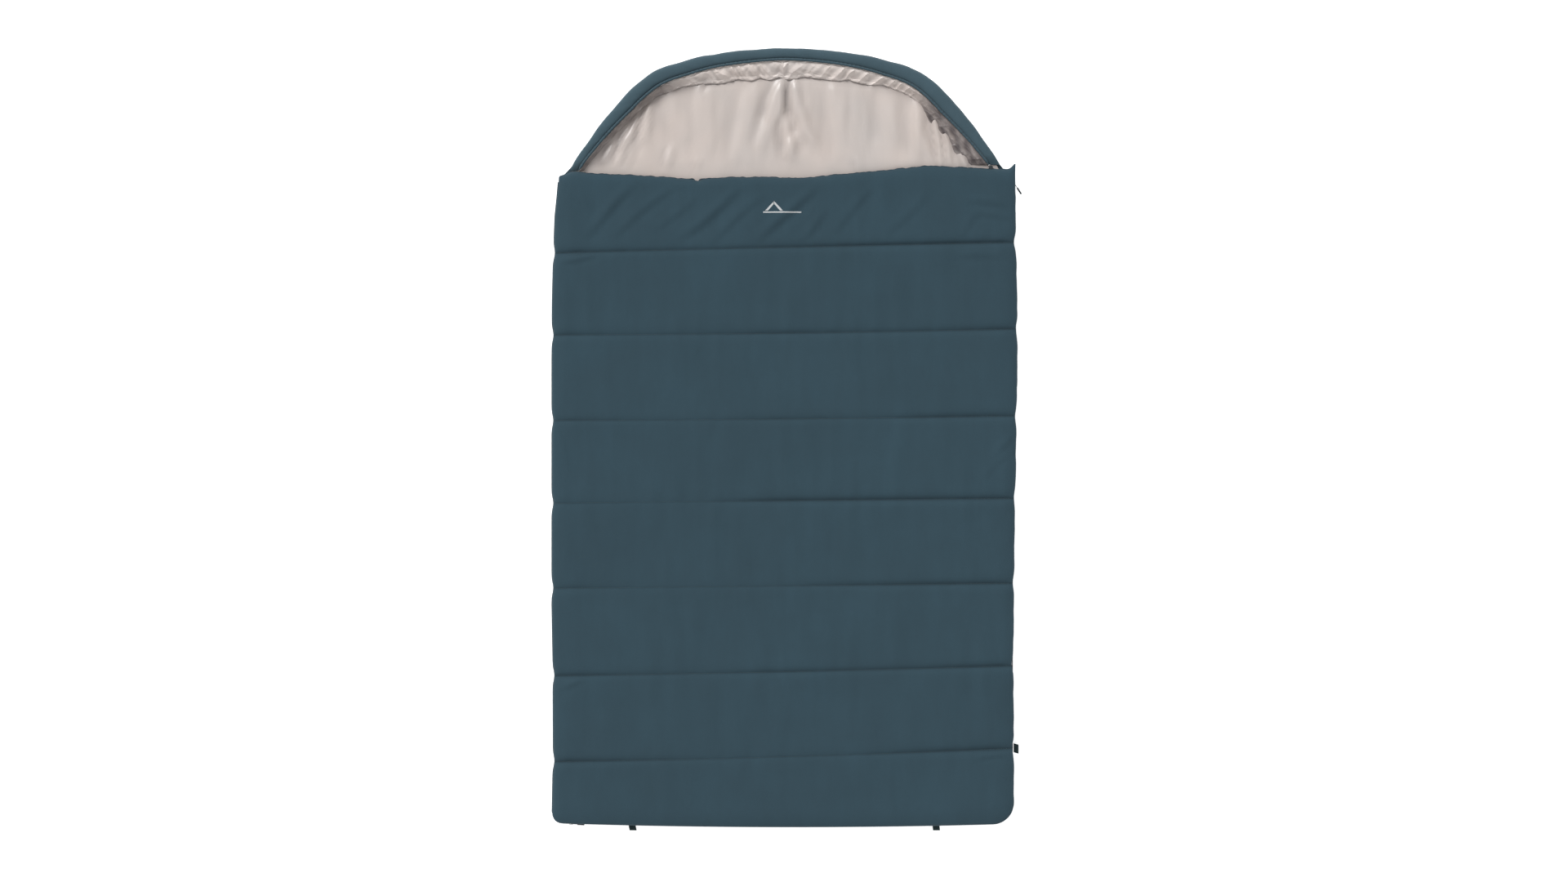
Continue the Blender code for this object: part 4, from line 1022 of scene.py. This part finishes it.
def make_rim_roll():
    """The ruffled satin roll inside the band.

    Across the roll its height is a lopsided dome from the drawcord channel to a tucked-in
    seam. Along it, slanted ruffles of uneven width swell and pinch, sharpest at both seams,
    and the inner seam is scalloped."""
    count, cross = ((640, 34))
    spot, inward, part, along = rim_path(count)
    width, height = rim_size(part)
    q = np.linspace(0, 1, cross)[None, :]
    run = along[:, None]
    span = np.interp(part, *zip(*ROLL_SPAN))[:, None]
    over_head = np.clip((0.34 - np.abs(part - 0.5)) / 0.10, 0, 1)[:, None]
    scallop = np.abs(np.sin(math.pi * (along / 0.118 + 0.8 * unevenness(along, 0 * along, 0.5, 90))))
    bulge = 0.0085 * (scallop[:, None] - 0.5) * (0.25 + 0.75 * over_head)
    band = band_width(part)[:, None]
    distance = band + 0.0015 + (span - 0.0035) * q + bulge * q ** 2
    profile = np.clip(1 - q ** 9, 0, 1) ** 0.5 * (1 - 0.42 * q ** 1.6)
    swell = (rim_height(band_width(part), width, height) - 0.001)[:, None]
    level = profile * swell * (0.55 + 0.45 * np.sin(math.pi * np.clip(q * 1.1 + 0.18, 0, 1)))
    room = np.sin(math.pi * q) ** 0.6
    lean = np.where(along[:, None] > along.mean(), 1.0, -1.0) * 0.9
    phase = 2.6 * unevenness(run, 0 * run, 0.30, 91)
    ruffle = np.sin(2 * math.pi * (run + lean * span * q) / 0.085 + phase)
    amount = 0.60 + 0.40 * unevenness(run, 0 * run, 0.26, 93)
    level = level + room * amount * 0.0058 * (1 - 2 * np.abs(ruffle) ** 0.6) * (0.2 + 0.8 * over_head)
    pleats = unevenness(0.25 * run, distance, 0.022, 96)
    level = level + 0.0022 * room * pleats * (1 - over_head)
    tuft = np.sin(2 * math.pi * (run - 0.3 * span * q) / 0.030 + 2.2 * unevenness(run, q, 0.15, 92))
    at_seams = np.exp(-q / 0.14) * 0.0012 + np.exp(-(1 - q) / 0.16) * 0.0018
    level = level + at_seams * tuft * (q > 0.02) * over_head
    level = level + 0.0016 * room * unevenness(run, 0.8 * distance, 0.09, 94)
    level = np.maximum(level, 0.0008)
    tip = np.clip(np.minimum(part, 1 - part) / 0.015, 0, 1)[:, None]
    level = level * (0.3 + 0.7 * tip)
    under = RIM_FOOT + 0.0004
    flat = spot[:, None] + inward[:, None] * distance[..., None]
    top = np.concatenate([flat, (under + level)[..., None]], axis=-1)
    bottom = np.concatenate([flat[:, ::-1], np.full((count, cross, 1), under)], axis=-1)
    bottom[:, 0, :2] = flat[:, -1] - inward * 0.0015
    bottom[:, -1, :2] = flat[:, 0]
    keep = np.unique(np.round(np.linspace(0, cross - 1, 5)).astype(int))
    points = np.concatenate([top, bottom[:, keep]], axis=1)
    sides = points.shape[1]
    faces = [face[::-1] for face in grid_faces(count, sides, around=True)]
    faces += [list(range(sides)), list(range((count - 1) * sides, count * sides))[::-1]]
    thing = build("hood_rim_roll", points.reshape(-1, 3), faces)
    held = np.zeros((count, sides))
    held[:, cross:] = 1
    held[:, :2] = 1
    held[:, cross - 2:cross] = 1
    held[:3] = held[-3:] = 1
    blow_up(thing, held.ravel(), 1.0, 0.03, 0.0025, 14)
    # Painted shade: dark wedges near both ends of the roll where the band shades the satin, darker along the
    # tucked inner seam and the outer seam, and in the ruffles' creases.
    shaded = np.interp(part, (0, 0.17, 0.26, 0.68, 0.76, 1), (0.97, 0.95, 0, 0, 0.80, 0.85))[:, None]
    crinkle = 0.86 + 0.14 * pleats
    crease = np.clip(np.abs(ruffle) ** 0.6 - 0.86, 0, 1) * 1.6 * room
    marks = np.zeros((count, sides))
    tucked = np.exp(-(1 - q) / 0.055) * 0.95 + 0.35 * np.exp(-q / 0.04) + crease
    marks[:, :cross] = np.maximum(shaded * crinkle, tucked)
    attribute(thing, "seam", np.clip(marks, 0, 0.96))
    return dress(thing, "roll", "base", ("hood_rim_lining",))


make_rim_band()
make_drawcord_channel()
make_drawcord()
make_rim_roll()


# ---------------------------------------------------------------- edges, zip and trim
ZIP_SIDE_X, ZIP_FOOT_Y = 0.688, -1.160


def zip_path(outward, count):
    """Down the right side, round the foot corner and along the foot, at a distance out from the
    quilts' recessed wall."""
    radius = CORNER_RIGHT - 0.0085 + outward
    turn = np.linspace(0, math.pi / 2, 40)
    centre = np.array([ZIP_SIDE_X - CORNER_RIGHT, ZIP_FOOT_Y + CORNER_RIGHT])
    bend = centre + radius * np.stack([np.cos(turn), -np.sin(turn)], axis=1)
    head_y, end_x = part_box("zip_coil_base")[1].y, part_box("zip_coil_base")[0].x
    line = np.vstack([[centre[0] + radius, head_y], bend, [end_x, centre[1] - radius]])
    return resample(line, count)


def make_coil(name, node, body):
    """A zip half's nylon spiral: a round wire wound on the zip's line, one turn every 2.4 mm."""
    low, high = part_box(node)
    z = (low.z + high.z) / 2
    wire, per_turn, sides = 0.00036, 8, 4
    turns = 1290
    count = turns * per_turn + 1
    line = zip_path(0.0007, count)
    turn = np.linspace(0, 2 * math.pi * turns, count)
    way = np.gradient(line, axis=0)
    way /= np.linalg.norm(way, axis=1)[:, None]
    out = np.stack([-way[:, 1], way[:, 0]], axis=1)
    wind = 0.0015 - wire
    path = np.column_stack([line + out * (wind * np.cos(turn))[:, None], z + wind * np.sin(turn)])
    away = np.column_stack([out * np.cos(turn)[:, None], np.sin(turn)])
    ahead = np.column_stack([way, np.zeros(count)])
    ring = round_profile(wire, sides)
    thing = carried(name, path, np.broadcast_to(ring, (count, sides, 2)), (away, -ahead))
    return dress(thing, "coil", body, (node,))


def make_seam_piping():
    """The welt along the left seam: a round cord cover that follows both quilts' edge, with the
    small pinches of its stitching."""
    count = 520
    low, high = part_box("left_seam_piping")
    y = np.linspace(low.y, high.y, count)
    gap = np.min([np.abs(y - line[0]) for line in SEAM_LINES], axis=0)
    nip = np.exp(-(gap / 0.020) ** 2) ** 0.8
    x = (low.x + high.x) / 2 + np.interp(y, *zip(*LEFT_STRAY)) + 0.0052 * nip
    path = np.column_stack([x, y, np.full(count, (low.z + high.z) / 2)])
    radius = (high.z - low.z) / 2 * (0.97 + 0.03 * unevenness(y, 0 * y, 0.02, 61, 2))
    radius[[0, -1]] *= 0.5
    thing = carried("left_seam_welt", path, round_profile(radius, 10), path_sides(path))
    # Painted shade: the whole welt is mixed a little darker than the quilts' teal.
    attribute(thing, "seam", np.full(len(thing.data.vertices), 0.35))
    return dress(thing, "quilt", "base", ("left_seam_piping",))


def make_mouth_binding():
    """The narrow binding round the mouth's raw edge, and up over the ear at the zip's corner:
    a flat oval carried along the quilt's own edge."""
    u = column_places(420)
    left = LEFT_X + LEFT_STRAY[-1][1] + 0.002
    x = left + (u + 1) / 2 * (RIGHT_X - 0.002 - left)
    y = line_y(MOUTH_LINE, u) + mouth_stray(x, 0 * x)
    path = np.column_stack([x, y, np.full(len(x), SEAM_Z + QUILT_FACE + 0.0066)])
    turn = np.linspace(0, 2 * math.pi, 14, endpoint=False)
    oval = np.stack([np.cos(turn) * 0.0017, np.sin(turn) * 0.0070], axis=-1)
    thing = carried("mouth_edge_binding", path, np.broadcast_to(oval, (len(x), 14, 2)), path_sides(path))
    # Painted shade: the whole binding is mixed a little darker, as a line of shade under the mouth's edge.
    attribute(thing, "seam", np.full(len(x) * 14, 0.25))
    return dress(thing, "quilt", "upper_panel", ("mouth_binding", "zip_corner_flap"))


def make_lock_spring():
    """The lock's spring: the same coil as the CAD part, its doubled points welded, in bright steel."""
    node = NODES["cord_lock_spring"]
    thing = bpy.data.objects.new("cord_lock_coil_spring", node.data.copy())
    bpy.context.scene.collection.objects.link(thing)
    weld = bmesh.new()
    weld.from_mesh(thing.data)
    bmesh.ops.remove_doubles(weld, verts=weld.verts, dist=1e-6)
    weld.to_mesh(thing.data)
    weld.free()
    thing.data.materials.clear()
    dress(thing, "steel", "base", ("cord_lock_spring",))
    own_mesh(thing)


def make_draught_tube():
    """The stuffed satin tube that covers the zip from inside: an oval carried down the side,
    gathered every few centimetres."""
    count = 420
    low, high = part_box("zip_draught_tube")
    middle_x, middle_z = (low.x + high.x) / 2, (low.z + high.z) / 2
    y = np.linspace(low.y, high.y, count)
    path = np.column_stack([np.full(count, middle_x), y, np.full(count, middle_z)])
    turn = np.linspace(0, 2 * math.pi, 18, endpoint=False)
    pinch = unevenness(y, 0 * y, 0.035, 65, 2)[:, None]
    wide = (high.x - low.x) / 2 * (0.96 + 0.03 * pinch)
    tall = (high.z - low.z) / 2 * (0.88 + 0.10 * pinch)
    ends = np.clip(np.minimum(y - low.y, high.y - y) / 0.012, 0.15, 1)[:, None] ** 0.5
    oval = np.stack([wide * ends * np.cos(turn), tall * ends * np.sin(turn)], axis=-1)
    thing = carried("draught_tube_satin", path, oval, path_sides(path))
    # Painted shade: darker where the tube is gathered in.
    attribute(thing, "seam", np.repeat(np.clip(-0.3 * pinch, 0, 0.4), 18))
    return dress(thing, "roll", "upper_panel", ("zip_draught_tube",))


def surface_of(thing):
    """A search tree over the piece's faces."""
    mesh = thing.data
    return BVHTree.FromPolygons([v.co for v in mesh.vertices], [p.vertices for p in mesh.polygons])


def dropped(tree, flat, from_z, way):
    """Places on the surface straight below or above the flat points, with its normals."""
    hits = [tree.ray_cast(Vector((x, y, from_z)), Vector((0, 0, way))) for x, y in flat]
    spots = np.array([hit[0] if hit[0] else (x, y, from_z) for hit, (x, y) in zip(hits, flat)])
    normals = np.array([hit[1] if hit[1] else (0, 0, -way) for hit in hits])
    return spots, normals


def make_stitches(name, tree, lines, from_z, way, pitch, finish, body):
    """Rows of thread: on each line a short spindle of thread every pitch, lying on the cloth."""
    length, radius = pitch * 0.36, 0.00042
    turn = np.linspace(0, 2 * math.pi, 5, endpoint=False)
    ends = np.array([-1.0, -0.6, 0.6, 1.0])
    girth = np.array([0.25, 1.0, 1.0, 0.25])
    unit = np.stack([np.repeat(ends * length, 5), np.tile(np.cos(turn), 4) * np.repeat(girth, 5) * radius,
                     np.tile(np.sin(turn), 4) * np.repeat(girth, 5) * radius], axis=1)
    places, aheads, ups = [], [], []
    for line in lines:
        flat = resample(line, max(4, int(np.linalg.norm(np.diff(line, axis=0), axis=1).sum() / pitch)))
        spots, normals = dropped(tree, flat, from_z, way)
        ahead = np.gradient(spots, axis=0)
        places.append(spots)
        aheads.append(ahead / np.linalg.norm(ahead, axis=1)[:, None])
        ups.append(normals)
    places, aheads, ups = np.vstack(places), np.vstack(aheads), np.vstack(ups)
    ups *= np.sign(ups[:, 2:] * -way + 1e-9)
    aside = np.cross(ups, aheads)
    aside /= np.linalg.norm(aside, axis=1)[:, None]
    points = (places[:, None] + ups[:, None] * 0.00025 + unit[None, :, :1] * aheads[:, None]
              + unit[None, :, 1:2] * aside[:, None] + unit[None, :, 2:] * ups[:, None])
    one = np.array(grid_faces(4, 5, around=True))
    quads = (one[None] + 20 * np.arange(len(places))[:, None, None]).reshape(-1, 4).tolist()
    caps = [tuple(range(20 * k + 4, 20 * k - 1, -1)) for k in range(len(places))]
    caps += [tuple(range(20 * k + 15, 20 * k + 20)) for k in range(len(places))]
    thing = build(name, points.reshape(-1, 3), quads + caps)
    return dress(thing, finish, body)


def seam_paths(inset):
    """The cross seams as flat lines, from side to side."""
    u = np.linspace(-1 + inset / 0.697, 1 - inset / 0.697, 200)
    middle, half = (LEFT_X + RIGHT_X) / 2, (RIGHT_X - LEFT_X) / 2
    return [np.column_stack([middle + half * u, line_y(line, u)]) for line in SEAM_LINES]


def make_print():
    """The plain tent mark in grey ink: three strips, each a small grid laid on the cloth."""
    low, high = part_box("printed_mark")
    line, peak = 0.0040, high.y
    left, right = low.x + 0.005, low.x + 0.060
    middle = (left + right) / 2
    strips = (((low.x, low.y), (high.x, low.y), (high.x, low.y + line), (low.x, low.y + line)),
              ((left, low.y + line + 0.002), (left + 0.009, low.y + line + 0.002), (middle, peak - 0.008),
               (middle, peak)),
              ((right - 0.009, low.y + line + 0.002), (right, low.y + line + 0.002), (middle + 0.0008, peak),
               (middle + 0.0008, peak - 0.008)))
    points, faces = [], []
    tree = surface_of(upper_quilt)
    for a, b, c, d in strips:
        s, t = np.meshgrid(np.linspace(0, 1, 25), np.linspace(0, 1, 7))
        s, t = s.ravel()[:, None], t.ravel()[:, None]
        near = (1 - s) * np.array(a) + s * np.array(b)
        far = (1 - s) * np.array(d) + s * np.array(c)
        flat = (1 - t) * near + t * far
        spots, normals = dropped(tree, flat, 0.2, -1)
        faces += grid_faces(7, 25, start=len(points) * 175)
        points.append(spots + normals * 0.00045)
    thing = build("tent_mark", np.vstack(points), faces)
    ink = thing.modifiers.new("ink", "SOLIDIFY")
    ink.thickness = 0.0003
    apply_modifiers(thing)
    return dress(thing, "print", "upper_panel", ("printed_mark",))


def make_loop(name, node, out, tilt, body):
    """A folded webbing loop: a flat band with rounded edges carried out from the quilt's edge,
    round a half turn and back, leaning a little along the seam. out is the way it points."""
    low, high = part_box(node)
    middle = (low + high) / 2
    out, root = Vector((*out, 0)), 0.0045
    along = Vector((out.y, -out.x, 0))
    reach = abs((high - low).dot(out)) + root
    wide = abs((high - low).dot(along)) - 0.001
    half = (high.z - low.z) / 2 - 0.0008
    turn = np.linspace(-math.pi / 2, math.pi / 2, 15)
    run = reach - half - 0.0008
    out_run = np.linspace(0, run, 9)
    away = np.concatenate([out_run[:-1], run + half * np.cos(turn), out_run[-2::-1]])
    rise = np.concatenate([np.full(8, -half), half * np.sin(turn), np.full(8, half)])
    rise = rise * (0.55 + 0.45 * np.clip(away / run, 0, 1))
    start = middle - out * (reach / 2 - 0.0005 + root / 2 - 0.001)
    path = np.array(start) + away[:, None] * np.array(out) + away[:, None] * tilt * np.array(along)
    path[:, 2] = middle.z + rise
    way = np.gradient(path, axis=0)
    way /= np.linalg.norm(way, axis=1)[:, None]
    side = np.broadcast_to(np.array(along), path.shape)
    edge = np.linspace(0, 2 * math.pi, 24, endpoint=False)
    band = np.stack([np.sign(np.cos(edge)) * np.abs(np.cos(edge)) ** 0.35 * wide / 2,
                     np.sign(np.sin(edge)) * np.abs(np.sin(edge)) ** 0.6 * 0.0007], axis=-1)
    thing = carried(name, path, np.broadcast_to(band, (len(path), 24, 2)), (side, np.cross(way, side)))
    return dress(thing, "webbing", body, (node,))


make_coil("zip_spiral_base", "zip_coil_base", "base")
make_coil("zip_spiral_upper", "zip_coil_upper", "upper_panel")
make_seam_piping()
make_draught_tube()
make_mouth_binding()
make_lock_spring()
make_loop("hang_loop_left_webbing", "hang_loop_left", (0, -1), -0.22, "base")
make_loop("hang_loop_right_webbing", "hang_loop_right", (0, -1), -0.12, "base")
make_loop("side_loop_webbing", "side_loop", (1, 0), 0.30, "base")
make_print()
make_stitches("cross_seam_stitches", surface_of(upper_quilt), seam_paths(0.012), 0.2, -1, 0.0050,
              "thread", "upper_panel")

for node, finish in (
        ("zip_tape_base", "tape"), ("zip_tape_upper", "tape"),
        ("zip_stop_head_base", "steel"), ("zip_stop_head_upper", "steel"),
        ("zip_stop_end_base", "steel"), ("zip_stop_end_upper", "steel"), ("side_slider_body", "slider"),
        ("side_pull_tab", "slider"), ("foot_slider_body", "slider"), ("foot_pull_tab", "slider"),
        ("side_pull_grip", "grip"), ("foot_pull_grip", "grip"), ("drawcord_eyelet", "steel"),
        ("cord_lock_barrel", "plastic"), ("cord_lock_button", "plastic")):
    for holder in NODES[node].material_slots:
        holder.material = FINISH[finish]

# ---------------------------------------------------------------- floor, light and camera
ground = build("floor", [(-6, -6, 0), (6, -6, 0), (6, 6, 0), (-6, 6, 0)], [(0, 1, 2, 3)], flat=True)
plain = Shader("pale_floor", 0.9, Specular_IOR_Level=0.1)
plain.colour(plain.ramp(plain.noise(2.0), ((0.0, (0.93, 0.93, 0.93)), (1.0, (0.95, 0.95, 0.95)))))
plain.bsdf.inputs["Emission Color"].default_value = (1, 1, 1, 1)
plain.bsdf.inputs["Emission Strength"].default_value = 0.64
ground.data.materials.append(plain.material)


def soft_light(name, heading, height, strength, spread):
    """A wide, even studio light: the way it comes from, in degrees round from +X and up from
    the floor, its strength and how wide a patch of the ceiling it fills."""
    lamp = bpy.data.lights.new(name, "SUN")
    lamp.energy = strength
    lamp.angle = math.radians(spread)
    thing = bpy.data.objects.new(name, lamp)
    turn, rise = math.radians(heading), math.radians(height)
    way = Vector((math.cos(turn) * math.cos(rise), math.sin(turn) * math.cos(rise), math.sin(rise)))
    thing.location = way * 6
    thing.rotation_euler = way.to_track_quat("Z", "Y").to_euler()
    bpy.context.scene.collection.objects.link(thing)


soft_light("key_light", 128, 40, 2.45, 24)
soft_light("fill_light", -60, 62, 0.75, 60)
world = bpy.data.worlds.new("pale_room")
world.use_nodes = True
world.node_tree.nodes["Background"].inputs["Color"].default_value = (1, 1, 1, 1)
world.node_tree.nodes["Background"].inputs["Strength"].default_value = 0.36
scene = bpy.context.scene
scene.world = world
scene.view_settings.view_transform = "Standard"

lens = bpy.data.cameras.new("overhead")
lens.lens = 85
camera = bpy.data.objects.new("overhead", lens)
camera.location = (-0.0074, -0.0049, 4.716 * 85 / 36 + 0.05)
scene.collection.objects.link(camera)
scene.camera = camera
